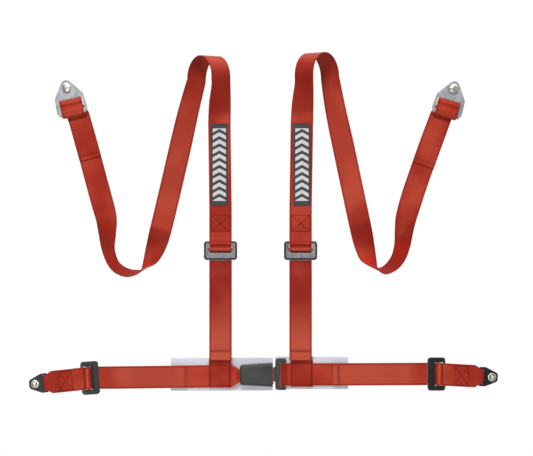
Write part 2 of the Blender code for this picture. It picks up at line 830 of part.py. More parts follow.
def pad(name, points, z_range, material, pivot):
    """A thin sheet behind the webbing. points holds (x, y)."""
    middle = (z_range[0] + z_range[1]) / 2
    half = Vector((0, 0, abs(z_range[0] - z_range[1]) / 2))
    stations = [(Vector((x, y, middle)), half) for x, y in points]
    ribbon(name, stations, material, pivot, 0.0020)


def lap_side(side, spec, materials, pivots):
    sign = spec["sign"]
    web = materials["webbing"]
    out = direction(sign, spec["lap_slope"])
    lap = Frame(spec["lap_bar"], out)
    bars = adjuster_bars(0.0165, 0.0080)
    main_y = -PITCH / 2
    centre = lap.point(spec["lap_adjuster"], main_y - FRAME_SET)
    adj = Frame(centre, direction(sign, spec["adjuster_slope"]))
    end = Frame(centre, direction(sign, spec["end_slope"]))
    bar_u = LAP_BAR_U
    ids = {k: f"{side}_lap{k}" for k in ("", "_adjuster", "_tail", "_anchor", "_bolt")}
    pivots[ids[""]] = Pivot(ids[""], spec["lap_bar"], pivots["buckle" if sign < 0 else "tongue"])
    pivots[ids["_adjuster"]] = Pivot(ids["_adjuster"], centre, pivots[ids[""]])
    pivots[ids["_tail"]] = Pivot(ids["_tail"], centre, pivots[ids["_adjuster"]])
    pivots[ids["_anchor"]] = Pivot(ids["_anchor"], end.point(bar_u, 0), pivots[ids["_adjuster"]])
    bolt_at = end.point(bar_u + LAP_BOLT_U, 0)
    pivots[ids["_bolt"]] = Pivot(ids["_bolt"], bolt_at, pivots[ids["_anchor"]])
    reach = spec["lap_adjuster"] + bars["inner"] - 0.0004
    lap_strap(side, spec, lap, reach, adj.w, web, pivots[ids[""]])
    adjuster(f"{side}_lap_adjuster", adj, bars, materials["black_steel"], pivots[ids["_adjuster"]])
    strap_turn(f"{side}_lap_strap_turn", adj, bars, web, pivots[ids["_adjuster"]])
    length = spec["lap_adjuster"] + bars["inner"] - spec["lap_hem"]
    along = Frame(centre, out)
    flap, pivot = spec["lap_flap"], pivots[ids["_tail"]]
    strap_tail(f"{side}_lap_tail", along, bars, adj.w, length, 0.0025, flap, web, pivot)
    slack = WEB_WIDTH / 2 * math.tan(adj.u.angle(end.u))
    end_loop(side, end, bars, bar_u, slack, 0.0165, web, pivots[ids["_adjuster"]])
    lap_anchor(side, end, bar_u, materials, pivots[ids["_anchor"]], pivots[ids["_bolt"]])


def pads(materials, pivots):
    left, right = SIDES["left"]["pad"], SIDES["right"]["pad"]
    near = BAR_Y + 0.0030
    pad(
        "left_pad",
        [(-left[0], 0.0115), (-0.0620, near + 0.0006), (-0.0900, near), (-left[1], near)],
        left[2:],
        materials["pad"],
        pivots["left_lap"],
    )
    pad(
        "left_pad_behind_buckle",
        [(-0.0390, 0.0128), (COVER_RIGHT, 0.0128)],
        left[2:],
        materials["pad"],
        pivots["buckle"],
    )
    pad(
        "right_pad",
        [(right[0], 0.0085), (0.0740, 0.0080), (0.1000, 0.0036), (right[1], 0.0036)],
        right[2:],
        materials["pad"],
        pivots["right_lap"],
    )
    pad(
        "right_pad_behind_tongue",
        [(0.0416, 0.0085), (0.0495, 0.0085)],
        right[2:],
        materials["pad"],
        pivots["tongue"],
    )


# ---------------------------------------------------------------- shoulder belt


def side_vector(sign, degrees):
    """Half-width vector level with the ground, its inboard edge turned forwards by an angle."""
    a = math.radians(degrees)
    return Vector((-sign * math.cos(a), -math.sin(a), 0)) * (WEB_WIDTH / 2)


def arch_stations(sign, spec, front_y, from_degrees, to_degrees, steps):
    """Part of the half circle where the strap turns over backwards."""
    front_o, rear_o, z = spec["arch"]
    travel = Vector((rear_o - front_o, ARCH_DEPTH))
    radius = travel.length / 2
    turned_by = -math.degrees(math.atan2(travel[0], travel[1]))
    stations = []
    for i in range(steps + 1):
        a = math.radians(from_degrees + (to_degrees - from_degrees) * i / steps)
        o, y = Vector((front_o, front_y)) + travel * ((1 - math.cos(a)) / 2)
        at = Vector((sign * o, y, z + radius * math.sin(a)))
        stations.append((at, side_vector(sign, turned_by)))
    return stations, turned_by


def upper_strap(side, spec, frame, bars, front_y, material, pivot):
    """Round the adjuster's top bar, up the front and half way over the arch."""
    sign = spec["sign"]
    clear = ADJ_THICK / 2 + BAR_CLEAR
    lay = PITCH / 2
    top = bars["end"]
    turn = bars["outer"] - BAR_CLEAR
    sewn = SEWN_TOP_Z - frame.origin.z
    points = [
        (sewn, lay),
        (top + 0.0200, lay),
        (top + 0.0050, clear),
        (turn, clear),
        (turn, -clear),
        (top + 0.0050, -clear),
        (top + 0.0200, -lay),
        (LABEL[1] - frame.origin.z - 0.006, -lay),
    ]
    path = rounded_path(points, [0.01, 0.005, 0.0018, 0.0018, 0.005, 0.01], 3)
    stations = in_frame(frame, path, sign * WEB_WIDTH / 2)
    arch, turned_by = arch_stations(sign, spec, front_y, 0, 88.6, 8)
    front_o, _, arch_z = spec["arch"]
    label_o = spec["label_o"]
    keys = [
        (label_o, LABEL[2], 0.0),
        (label_o + (front_o - label_o) * 0.35, 0.6050, turned_by * 0.45),
        (front_o, arch_z - 0.022, turned_by * 0.96),
        (front_o, arch_z, turned_by),
    ]
    stations.append((Vector((sign * label_o, front_y, LABEL[1])), side_vector(sign, 0)))
    for value, _ in catmull(keys, 4):
        stations.append((Vector((sign * value[0], front_y, value[1])), side_vector(sign, value[2])))
    stations += arch
    ribbon(f"{side}_upper_strap", stations, material, pivot)


def rear_path(sign, keys):
    """The hanging strap from the arch to the anchor. Each key is (o, y, z, roll, slant): roll turns
    the section about the path, and slant leans it along the path."""
    stations = []
    for value, slope in catmull(keys, 4):
        along = Vector((slope[0], slope[2])).normalized()
        across = Vector((along[1], -along[0]))
        roll = math.radians(value[3])
        o = across[0] * math.cos(roll) + along[0] * value[4]
        z = across[1] * math.cos(roll) + along[1] * value[4]
        side = Vector((sign * o, -math.sin(roll), z)) * (WEB_WIDTH / 2)
        stations.append((Vector((sign * value[0], value[1], value[2])), side))
    return stations


def anchor_frame(spec):
    """u points from the slot to the bolt, as the plate hangs."""
    a = math.radians(spec["anchor_turn"])
    o, y, z = spec["anchor"]
    return Frame((spec["sign"] * o, y, z), (spec["sign"] * math.sin(a), 0, math.cos(a)))


def anchor_loop(sign, frame):
    """Up behind the plate's bar, through the slot, down the front and back under. There the webbing
    moves inboard, to lie over the layer that comes up."""
    points = [
        (ANCHOR_BAR_U + 0.0135, LOOP_BACK),
        (LOOP_CROWN_U + 0.0069, LOOP_BACK),
        (LOOP_CROWN_U + 0.0069, LOOP_FRONT),
        (LOOP_BASE_U, LOOP_FRONT),
        (LOOP_BASE_U, LOOP_TAIL),
        (LOOP_BASE_U - 0.0055, LOOP_TAIL),
    ]
    path = rounded_path(points, [0.0065, 0.0065, 0.0050, 0.0025], 5)
    stations = []
    for u, v in path:
        share = (v - LOOP_FRONT) / (LOOP_TAIL - LOOP_FRONT) if u < ANCHOR_BAR_U else 0.0
        inboard = LOOP_SHIFT + (TAIL_SHIFT - LOOP_SHIFT) * share
        stations.append((frame.point(u, v, sign * inboard), frame.w * (sign * WEB_WIDTH / 2)))
    return stations


def rear_strap(side, spec, front_y, material, pivot):
    """Down from the arch, round the hanging loop and up to the anchor; through the slot, over the
    bar and back down the front to a doubled hem."""
    sign = spec["sign"]
    arch, turned_by = arch_stations(sign, spec, front_y, 91.4, 180, 8)
    front_o, rear_o, arch_z = spec["arch"]
    rear_y = front_y + ARCH_DEPTH
    meet = Vector(spec["meet"])
    keys = [(rear_o, rear_y, arch_z, turned_by, 0)] + spec["fall"] + [(*meet, 180, 0)]
    stations = arch[:-1] + rear_path(sign, keys) + anchor_loop(sign, anchor_frame(spec))
    top = meet + (Vector(spec["fall"][-1][:3]) - meet).normalized() * TAIL_START
    top = Vector((sign * top[0], meet[1] - PITCH, top[2]))
    low = Vector((sign * spec["hem_at"][0], top.y, spec["hem_at"][1]))
    along = (top - low).normalized()
    edge = Vector((-along.z, 0, along.x)) * (sign * WEB_WIDTH / 2)
    for share in (0.0, 0.35, 0.7, 1.0):
        stations.append((top.lerp(low, share), edge))
    hem_edge = stations[-1][1]
    hem_path = half_circle((0, -PITCH / 2), PITCH / 2, 90, -180, 4)[1:] + [Vector((-REAR_HEM, -PITCH))]
    for p in hem_path:
        stations.append((low - along * p[0] + Vector((0, p[1], 0)), hem_edge))
    ribbon(f"{side}_rear_strap", stations, material, pivot)


def shoulder_anchor(side, spec, materials, pivot, bolt_pivot):
    """The zinc plate with its wide slot, the bolt with its head to the front, and the rear washer."""
    frame = anchor_frame(spec)
    outline = rounded_outline(
        [
            (0.0285, 0.0, 0.0125),
            (-0.0180, 0.0325, 0.0080),
            (-0.0520, 0.0350, 0.0060),
            (-0.0620, 0.0290, 0.0040),
            (-0.0620, -0.0290, 0.0040),
            (-0.0520, -0.0350, 0.0060),
            (-0.0180, -0.0325, 0.0080),
        ]
    )
    slot = box_outline(ANCHOR_BAR_U + ANCHOR_BAR_HALF, -0.0226, -0.0282, 0.0282, 0.003)
    hole = box_outline(-BOLT_HOLE, 0.0140, -BOLT_HOLE, BOLT_HOLE, BOLT_HOLE - 0.0001, 8)
    span = (-PLATE_THICK / 2, PLATE_THICK / 2)
    plate(f"{side}_shoulder_anchor_plate", frame, outline, [slot, hole], span, materials["zinc"], pivot)
    turned(
        f"{side}_shoulder_bolt",
        frame.origin,
        (0, 1, 0),
        [(0, -0.0090, 0), (0.0072, -0.0090, 0), (0.0086, -0.0078, 1), (0.0086, -0.0018, 1)]
        + [(BOLT_RADIUS, -0.0018, 0), (BOLT_RADIUS, 0.0230, 0), (0.0042, 0.0245, 0), (0, 0.0245, 0)],
        materials["bolt"],
        bolt_pivot,
    )
    turned(
        f"{side}_shoulder_bolt_washer",
        frame.origin,
        (0, 1, 0),
        [(0.0058, 0.0018, 0), (0.0094, 0.0018, 0), (0.0094, 0.0040, 0), (0.0058, 0.0040, 0)],
        materials["bolt"],
        bolt_pivot,
    )


def shoulder_side(side, spec, materials, pivots):
    sign = spec["sign"]
    web = materials["webbing"]
    bars = adjuster_bars(0.0165, 0.0100)
    strap_y = spec["lap_bar"][1] - PITCH / 2 - PITCH
    patch_o, patch_low, patch_high = spec["patch"]
    x = sign * spec["strap_o"]
    up = Frame((x, strap_y, 0), (0, 0, 1))
    centre = Vector((x, strap_y - FRAME_SET, SHOULDER_ADJ_Z))
    adj = Frame(centre, (0, 0, 1))
    front_y = centre.y - PITCH / 2
    crown, _ = arch_stations(sign, spec, front_y, 90, 180, 2)
    anchor = anchor_frame(spec)
    name = f"{side}_shoulder"
    pivots[name] = Pivot(name, (x, strap_y, SHOULDER_FOLD_Z), pivots[f"{side}_lap"])
    pivots[name + "_adjuster"] = Pivot(name + "_adjuster", centre, pivots[name])
    pivots[name + "_tail"] = Pivot(name + "_tail", centre, pivots[name + "_adjuster"])
    pivots[name + "_rear"] = Pivot(name + "_rear", crown[0][0], pivots[name + "_adjuster"])
    hinge = anchor.point(ANCHOR_BAR_U, 0)
    pivots[name + "_anchor"] = Pivot(name + "_anchor", hinge, pivots[name + "_rear"])
    pivots[name + "_bolt"] = Pivot(name + "_bolt", anchor.origin, pivots[name + "_anchor"])
    fold = SHOULDER_FOLD_Z
    patch = [
        (Vector((sign * patch_o, strap_y, patch_low)), Vector((WEB_WIDTH / 2, 0, 0))),
        (Vector((sign * patch_o, strap_y, patch_high)), Vector((WEB_WIDTH / 2, 0, 0))),
        (Vector((x, strap_y, fold - 0.0010)), Vector((WEB_WIDTH / 2, 0, 0))),
    ]
    ribbon(f"{side}_shoulder_patch", patch, web, pivots[f"{side}_lap"])
    reach = SHOULDER_ADJ_Z + bars["inner"] - 0.0006
    straight = [Vector((fold + 0.0010, 0)), Vector((reach, 0))]
    ribbon(f"{side}_shoulder_strap", in_frame(up, straight, WEB_WIDTH / 2), web, pivots[name])
    adjuster(f"{side}_shoulder_adjuster", adj, bars, materials["black_steel"], pivots[name + "_adjuster"])
    strap_turn(f"{side}_shoulder_strap_turn", adj, bars, web, pivots[name + "_adjuster"])
    length = SHOULDER_ADJ_Z + bars["inner"] - SHOULDER_HEM_Z
    pivot = pivots[name + "_tail"]
    strap_tail(f"{side}_shoulder_tail", adj, bars, adj.w, length, 0.0062, SHOULDER_HEM, web, pivot)
    upper_strap(side, spec, adj, bars, front_y, web, pivots[name + "_adjuster"])
    label_y = front_y - HALF_THICK - 0.0003 - 0.0004
    label_half = Vector((LABEL[0] / 2, 0, 0))
    label = [(Vector((sign * spec["label_o"], label_y, z)), label_half) for z in LABEL[1:]]
    ribbon(f"{side}_label", label, materials["label"], pivots[name + "_adjuster"], 0.0008)
    rear_strap(side, spec, front_y, web, pivots[name + "_rear"])
    shoulder_anchor(side, spec, materials, pivots[name + "_anchor"], pivots[name + "_bolt"])


# ---------------------------------------------------------------- whole harness


def build():
    clear_scene()
    materials = make_materials()
    pivots = {"buckle": Pivot("buckle", (0, 0, 0))}
    root = pivots["buckle"]
    pivots["button"] = Pivot("button", (0.0270, -0.0070, 0), root)
    pivots["latch"] = Pivot("latch", (0.0, -0.0026, 0), root)
    pivots["ejector"] = Pivot("ejector", (-0.0050, 0, 0), root)
    pivots["tongue"] = Pivot("tongue", (0.0400, 0, 0), root)
    buckle(materials, root)
    buckle_inside(materials, pivots)
    tongue(materials, pivots["tongue"])
    for side, spec in SIDES.items():
        lap_side(side, spec, materials, pivots)
    pads(materials, pivots)
    for side, spec in SIDES.items():
        shoulder_side(side, spec, materials, pivots)


build()
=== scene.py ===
import bmesh
import bpy
import math
import random
from mathutils import Matrix, Vector


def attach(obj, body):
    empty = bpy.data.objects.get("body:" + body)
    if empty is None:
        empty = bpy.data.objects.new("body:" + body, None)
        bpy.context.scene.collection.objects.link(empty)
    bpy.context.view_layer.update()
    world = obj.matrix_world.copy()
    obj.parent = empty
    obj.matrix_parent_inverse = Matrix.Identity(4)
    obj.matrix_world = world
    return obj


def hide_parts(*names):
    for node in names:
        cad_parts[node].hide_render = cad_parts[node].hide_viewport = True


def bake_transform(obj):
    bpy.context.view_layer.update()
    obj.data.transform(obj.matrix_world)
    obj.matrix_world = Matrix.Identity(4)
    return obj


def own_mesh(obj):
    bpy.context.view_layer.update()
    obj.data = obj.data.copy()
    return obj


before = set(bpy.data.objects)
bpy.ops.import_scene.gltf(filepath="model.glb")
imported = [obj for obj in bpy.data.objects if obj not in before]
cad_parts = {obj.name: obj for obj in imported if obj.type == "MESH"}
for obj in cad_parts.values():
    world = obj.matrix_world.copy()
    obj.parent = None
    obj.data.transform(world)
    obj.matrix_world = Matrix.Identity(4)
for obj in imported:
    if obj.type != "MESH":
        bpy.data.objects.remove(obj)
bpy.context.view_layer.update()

# Lengths are in metres from the buckle's centre: x to the viewer's right, y to the back and z up.
BUCKLE_AT = Vector((-0.01544, -0.03393, -0.33872))
FRONT, BACK, UP = (0, -1, 0), (0, 1, 0), (0, 0, 1)

WEB = 0.0250  # half the webbing's width
THICK = 0.0014  # of the webbing
PITCH = 0.0018  # between two layers that lie together
BAR_CLEAR = 0.0006 + THICK / 2  # from a bar's face to the middle of the webbing round it
ADJ_THICK = 0.0030
FRAME_SET = ADJ_THICK / 2 + BAR_CLEAR + PITCH  # from an adjuster's middle back to the strap behind it
PLATE_FACE = 0.0015  # half an end plate's thickness
HOLE = 0.0061  # half the width of an end plate's bolt hole
BAR_X, BAR_Y = -0.0330, 0.0032  # the buckle's own bar
TONGUE_BAR_X = 0.0590
LABEL_Z = (0.3766, 0.5605)
SHOULDER_ADJ_Z = 0.2770
SHOULDER_HEM_Z = 0.0350
SHOULDER_FLAP = 0.0220
REAR_HEM = 0.0100
FOLD_Z = 0.0420  # where the shoulder strap rises from its patch
SHOULDER_FOOT_Z = 0.0600
SEWN_TOP_Z = 0.3600
ARCH_DEPTH = 0.0860
BAR_U = 0.0985  # from a lap adjuster's centre to its end plate's bar

# "o" is the distance outwards from the middle. A row of "fall" is (o, y, z, roll in degrees, lean).
SIDES = {
    "left": {
        "sign": -1,
        "lap_bar": (BAR_X, BAR_Y, -0.0030),
        "lap_end_half": 0.0142,
        "lap_loop": 0.0034,
        "lap_slope": -0.7,
        "lap_adjuster": 0.3380,
        "adjuster_slope": -4.0,
        "end_slope": -6.2,
        "lap_hem": 0.1235,
        "lap_flap": 0.0060,
        "fold_back": 0.0730,
        "patch": (0.0815, -0.0290, 0.0236),
        "strap_o": 0.0800,
        "label_o": 0.0825,
        "pad": (0.1915, 0.0380, -0.0365),
        "arch": (0.0790, 0.1370, 0.6630),
        "fall": [
            (0.1560, 0.082, 0.590, -22, 0),
            (0.1760, 0.082, 0.503, -6, 0),
            (0.1960, 0.082, 0.417, 0, 0),
            (0.2180, 0.081, 0.325, 5, 0),
            (0.2300, 0.078, 0.282, 25, -0.05),
            (0.2425, 0.071, 0.251, 51, -0.20),
            (0.2598, 0.062, 0.230, 90, -0.50),
            (0.2840, 0.053, 0.2245, 113, -0.40),
            (0.3069, 0.046, 0.232, 121, -0.10),
            (0.3232, 0.041, 0.2485, 125, 0),
            (0.3340, 0.038, 0.280, 131, 0),
            (0.3362, 0.037, 0.315, 147, 0),
            (0.3385, 0.036, 0.350, 166, 0),
            (0.3490, 0.037, 0.390, 180, 0),
            (0.3615, 0.0383, 0.436, 180, 0),
            (0.3815, 0.0383, 0.511, 180, 0),
        ],
        "meet": (0.4037, 0.0383, 0.5896),
        "anchor": (0.4265, 0.0325, 0.6417),
        "anchor_turn": 13.5,
        "hem_at": (0.3745, 0.4850),
    },
    "right": {
        "sign": 1,
        "lap_bar": (TONGUE_BAR_X, 0.0, 0.0004),
        "lap_end_half": WEB,
        "lap_loop": 0.0052,
        "lap_slope": 0.25,
        "lap_adjuster": 0.3424,
        "adjuster_slope": 0.0,
        "end_slope": -3.2,
        "lap_hem": 0.1135,
        "lap_flap": 0.0140,
        "fold_back": 0.0680,
        "patch": (0.1012, -0.0268, 0.0277),
        "strap_o": 0.0985,
        "label_o": 0.1015,
        "pad": (0.2047, 0.0407, -0.0326),
        "arch": (0.1060, 0.1670, 0.6690),
        "fall": [
            (0.1800, 0.083, 0.596, -22, 0),
            (0.1995, 0.083, 0.505, -6, 0),
            (0.2170, 0.083, 0.422, 0, 0),
            (0.2375, 0.082, 0.326, 5, 0),
            (0.2467, 0.079, 0.283, 24, -0.05),
            (0.2545, 0.073, 0.2575, 42, -0.15),
            (0.2680, 0.064, 0.2360, 80, -0.45),
            (0.2860, 0.056, 0.2300, 112, -0.35),
            (0.3045, 0.050, 0.2400, 126, -0.10),
            (0.3200, 0.045, 0.2600, 134, 0),
            (0.3290, 0.041, 0.2890, 141, 0),
            (0.3325, 0.038, 0.3200, 151, 0),
            (0.3370, 0.036, 0.3500, 165, 0),
            (0.3500, 0.037, 0.3950, 180, 0),
            (0.3634, 0.0383, 0.4350, 180, 0),
            (0.3915, 0.0383, 0.5150, 180, 0),
        ],
        "meet": (0.4189, 0.0383, 0.5877),
        "anchor": (0.4430, 0.0325, 0.6390),
        "anchor_turn": 16.5,
        "hem_at": (0.3760, 0.4700),
    },
}


# ---------------------------------------------------------------- materials


class Graph:
    """Short calls for building one material's nodes."""

    def __init__(self, name):
        self.material = bpy.data.materials.new(name)
        self.material.use_nodes = True
        self.tree = self.material.node_tree
        self.shader = self.tree.nodes["Principled BSDF"]

    def node(self, kind, **settings):
        made = self.tree.nodes.new(kind)
        for key, value in settings.items():
            setattr(made, key, value)
        return made

    def feed(self, socket, value):
        if isinstance(value, bpy.types.NodeSocket):
            self.tree.links.new(value, socket)
        elif isinstance(value, tuple) and len(value) == 3 and socket.type == "RGBA":
            socket.default_value = (*value, 1.0)
        else:
            socket.default_value = value

    def math(self, operation, a, b=0.0, c=0.0):
        made = self.node("ShaderNodeMath", operation=operation)
        for socket, value in zip(made.inputs, (a, b, c)):
            self.feed(socket, value)
        return made.outputs[0]

    def plus(self, a, b):
        return self.math("ADD", a, b)

    def times(self, a, b, added=0.0):
        return self.math("MULTIPLY_ADD", a, b, added)

    def rest(self, share):
        """What a share leaves of one."""
        return self.math("SUBTRACT", 1.0, share)

    def zigzag(self, value, half, shift=1000.0):
        """Up and down between 0 and half a pitch, for a value above -shift."""
        return self.math("PINGPONG", self.plus(value, shift), half)

    def step(self, value, low, high, to_low=0.0, to_high=1.0):
        """Smooth change from to_low to to_high as value goes from low to high."""
        made = self.node("ShaderNodeMapRange", interpolation_type="SMOOTHSTEP")
        for socket, given in zip(made.inputs, (value, low, high, to_low, to_high)):
            self.feed(socket, given)
        return made.outputs[0]

    def mix(self, factor, a, b):
        made = self.node("ShaderNodeMix", data_type="RGBA")
        for number, value in ((0, factor), (6, a), (7, b)):
            self.feed(made.inputs[number], value)
        return made.outputs[2]

    def noise(self, scale, detail=3.0, vector=None):
        made = self.node("ShaderNodeTexNoise")
        made.inputs["Scale"].default_value = scale
        made.inputs["Detail"].default_value = detail
        self.feed(made.inputs["Vector"], vector or self.place("Object"))
        return made.outputs["Fac"]

    def place(self, kind):
        return self.node("ShaderNodeTexCoord").outputs[kind]

    def parts(self, kind):
        """The x, y and z of a place. For UV they are millimetres across and along the webbing."""
        split = self.node("ShaderNodeSeparateXYZ")
        self.tree.links.new(self.place(kind), split.inputs[0])
        return split.outputs[0], split.outputs[1], split.outputs[2]

    def wave(self, value, pitch):
        """0 to 1 cosine with the given pitch."""
        return self.times(self.math("COSINE", self.times(value, 2 * math.pi / pitch)), 0.5, 0.5)

    def bump(self, height, distance, strength, after=None):
        made = self.node("ShaderNodeBump")
        made.inputs["Strength"].default_value = strength
        made.inputs["Distance"].default_value = distance
        self.feed(made.inputs["Height"], height)
        if after:
            self.feed(made.inputs["Normal"], after)
        return made.outputs[0]

    def worn_edges(self, low, high):
        """Convex edges, broken up by noise."""
        point = self.node("ShaderNodeNewGeometry").outputs["Pointiness"]
        return self.times(self.step(point, low, high), self.step(self.noise(160.0, 4.0), 0.4, 0.65))

    def set(self, **inputs):
        for name, value in inputs.items():
            self.feed(self.shader.inputs[name.replace("_", " ")], value)
        return self.material


def webbing_material(name, shades, zones=()):
    """Woven polyester: warp ribs, a herringbone of floats, corded edges and slow random changes of tone. A zone
    is (start, full, fading, end) in mm along the strap, then the colour it takes on, a painted shade or painted
    highlight, and how far."""
    deep, mid, pale = shades
    g = Graph(name)
    across, along, _ = g.parts("UV")
    side = g.math("ABSOLUTE", across)
    chevron = g.wave(g.plus(along, g.times(g.zigzag(across, 6.25), 1.25)), 2.1)
    weave = g.times(g.wave(across, 1.10), 0.45, g.times(chevron, 0.55))
    cord = g.times(g.wave(along, 1.5), 0.3, g.times(g.wave(across, 1.2), 0.7))
    edge = g.step(side, 22.6, 23.4)
    height = g.times(weave, g.rest(edge), g.times(cord, edge))
    cloud = g.noise(9.0, 2.0)
    colour = g.mix(g.times(height, 0.55, 0.35), deep, mid)
    colour = g.mix(g.step(cloud, 0.42, 0.66, 0.0, 0.85), colour, pale)
    colour = g.mix(g.step(g.noise(70.0, 5.0), 0.55, 0.8, 0.0, 0.25), colour, pale)
    # Bands of painted shade and painted highlight along the strap, where its curves turn away from or towards
    # the light.
    for start, full, fading, end, shade, amount in zones:
        painted_light_mask = g.times(g.step(along, start, full), g.rest(g.step(along, fading, end)))
        colour = g.mix(g.times(painted_light_mask, amount), colour, shade)
    groove = g.times(g.step(side, 20.6, 21.6), g.rest(edge))
    colour = g.mix(g.times(groove, 0.75), colour, deep)
    lint = g.bump(g.noise(900.0, 2.0), 0.00008, 0.20)
    return g.set(
        Base_Color=g.mix(g.times(edge, 0.35), colour, mid),
        Roughness=g.step(cloud, 0.3, 0.7, 0.46, 0.56),
        Normal=g.bump(g.times(groove, -0.8, height), 0.00030, 0.6, lint),
        Sheen_Weight=0.10,
        Sheen_Roughness=0.40,
        Sheen_Tint=(1.0, 0.45, 0.30),
        Specular_IOR_Level=0.25,
        Specular_Tint=(1.0, 0.66, 0.56),
    )


def thread_material():
    """Bonded sewing thread: twisted plies seen as fine slanted lines."""
    g = Graph("sewing_thread")
    x, y, z = g.parts("Object")
    twist = g.wave(g.plus(g.plus(x, y), z), 0.0007)
    return g.set(
        Base_Color=g.mix(twist, (0.075, 0.004, 0.003), (0.200, 0.012, 0.008)),
        Roughness=0.60,
        Normal=g.bump(twist, 0.0001, 0.4),
        Sheen_Weight=0.10,
        Sheen_Tint=(1.0, 0.40, 0.30),
        Specular_IOR_Level=0.15,
        Specular_Tint=(1.0, 0.60, 0.50),
    )


def label_material():
    """Woven charcoal label with plain white chevrons."""
    g = Graph("woven_label")
    across, along, _ = g.parts("UV")
    fold = g.math("ABSOLUTE", across)
    bars = g.step(g.zigzag(g.times(fold, 0.55, along), 8.0), 3.4, 3.9)
    ends = g.times(g.step(along, 11.0, 11.5), g.rest(g.step(along, 172.4, 172.9)))
    mark = g.times(g.times(bars, g.rest(g.step(fold, 14.6, 15.0))), ends)
    weave = g.times(g.wave(along, 0.55), g.wave(across, 0.60))
    dark = g.mix(weave, (0.030, 0.033, 0.038), (0.062, 0.068, 0.076))
    pale = g.mix(weave, (0.62, 0.62, 0.62), (0.86, 0.86, 0.85))
    wear = g.step(g.noise(60.0, 4.0), 0.5, 0.8, 0.0, 0.15)
    return g.set(
        Base_Color=g.mix(mark, dark, g.mix(wear, pale, (0.40, 0.40, 0.41))),
        Roughness=0.62,
        Normal=g.bump(g.times(mark, 0.6, g.times(weave, 0.5)), 0.0002, 0.5),
        Sheen_Weight=0.15,
    )


def pad_material():
    """Silvery mesh cloth: a square grid of shiny yarns over darker gaps."""
    g = Graph("silver_mesh_cloth")
    across, along, _ = g.parts("UV")
    grid = [g.step(g.zigzag(place, 0.95, 500.0), 0.28, 0.52) for place in (across, along)]
    yarn = g.math("MAXIMUM", *grid)
    shade = g.mix(g.noise(18.0, 3.0), (0.74, 0.74, 0.82), (0.86, 0.86, 0.92))
    height = g.times(g.wave(g.plus(across, along), 3.8), 0.25, yarn)
    return g.set(
        Base_Color=g.mix(yarn, (0.55, 0.55, 0.63), shade),
        Roughness=0.42,
        Metallic=0.15,
        Normal=g.bump(height, 0.00035, 0.6),
        Sheen_Weight=0.4,
        Sheen_Tint=(0.92, 0.93, 1.0),
    )


def plastic_material(name, colour, light, grain, roughness):
    """Moulded plastic with spark-eroded grain, faint flow marks and rubbed edges."""
    g = Graph(name)
    spark = g.noise(grain, 2.0)
    rubbed = tuple(min(1.0, c * 2.2) for c in light)
    base = g.mix(g.step(g.noise(26.0, 5.0), 0.35, 0.7, 0.0, 0.5), colour, light)
    return g.set(
        Base_Color=g.mix(g.times(g.worn_edges(0.52, 0.58), 0.35), base, rubbed),
        Roughness=g.times(spark, 0.18, roughness),
        Normal=g.bump(spark, 0.00012, 0.35),
        Specular_IOR_Level=0.5,
    )


def coated_material(name, colour, rub, roughness):
    """Black coated steel: orange peel, dust and rubbed corners."""
    g = Graph(name)
    dust = g.noise(35.0, 5.0)
    worn = g.worn_edges(0.53, 0.62)
    base = g.mix(g.step(dust, 0.45, 0.8, 0.0, 0.4), colour, tuple(c * 1.8 for c in colour))
    return g.set(
        Base_Color=g.mix(g.times(worn, 0.6), base, rub),
        Roughness=g.times(dust, 0.22, roughness - 0.1),
        Metallic=g.times(worn, 0.5),
        Normal=g.bump(g.noise(420.0, 2.0), 0.00008, 0.3),
    )


def plated_material(name, dark, bright, roughness, brushed=False):
    """Zinc plate or bare steel: cloudy spangle and a rough skin, drawn out along x if it is brushed."""
    g = Graph(name)
    cloud = g.noise(70.0, 5.0)
    if brushed:
        stretched = g.node("ShaderNodeCombineXYZ")
        for socket, value, scale in zip(stretched.inputs, g.parts("Object"), (40.0, 1500.0, 1500.0)):
            g.feed(socket, g.times(value, scale))
        grain = g.noise(1.0, 2.0, stretched.outputs[0])
    else:
        grain = g.noise(1500.0, 2.0)
    return g.set(
        Base_Color=g.mix(g.step(cloud, 0.3, 0.7), dark, bright),
        Metallic=0.92,
        Roughness=g.times(cloud, 0.20, roughness - 0.08),
        Normal=g.bump(grain, 0.00006, 0.3),
    )


RED = ((0.270, 0.012, 0.006), (0.450, 0.028, 0.013), (0.540, 0.060, 0.030))
# A darker copy of the red: painted shade for the upright front straps and the patch, which catch less light.
PAINTED_SHADE_RED = ((0.210, 0.008, 0.004), (0.380, 0.018, 0.009), (0.470, 0.042, 0.021))
# A lighter copy of the red: a painted highlight for the folded edges, which catch the light.
PAINTED_LIT_RED = ((0.360, 0.020, 0.010), (0.520, 0.045, 0.022), (0.600, 0.080, 0.045))
# Colours that the zones paint on: a painted highlight, a painted shade, and painted light from below for
# undersides.
PAINTED_HIGHLIGHT = (0.620, 0.105, 0.058)
SHADED = (0.240, 0.008, 0.004)
PAINTED_UNDERLIGHT = (0.700, 0.022, 0.010)
# A painted highlight, then painted shade, on the roll round the lap bar.
LAP_ZONES = ((70, 73, 76, 79, PAINTED_HIGHLIGHT, 0.60), (79, 83, 93, 98, SHADED, 0.65))
# Painted shade on either side of a painted highlight on the crown of the roll in each adjuster.
TURN_ZONES = (
    (34, 38, 41, 44, SHADED, 0.75),
    (44, 46, 47, 49, PAINTED_HIGHLIGHT, 0.70),
    (49, 52, 60, 64, SHADED, 0.70),
)
# Along the shoulder strap: two bands of painted shade, a broad painted highlight, and painted light from below
# on the hanging loop's bottom.
LONG_ZONES = (
    (355, 385, 440, 520, SHADED, 0.75),
    (955, 968, 985, 1030, SHADED, 0.70),
    (560, 700, 890, 960, PAINTED_HIGHLIGHT, 0.30),
    (1030, 1060, 1160, 1190, PAINTED_UNDERLIGHT, 0.80),
)


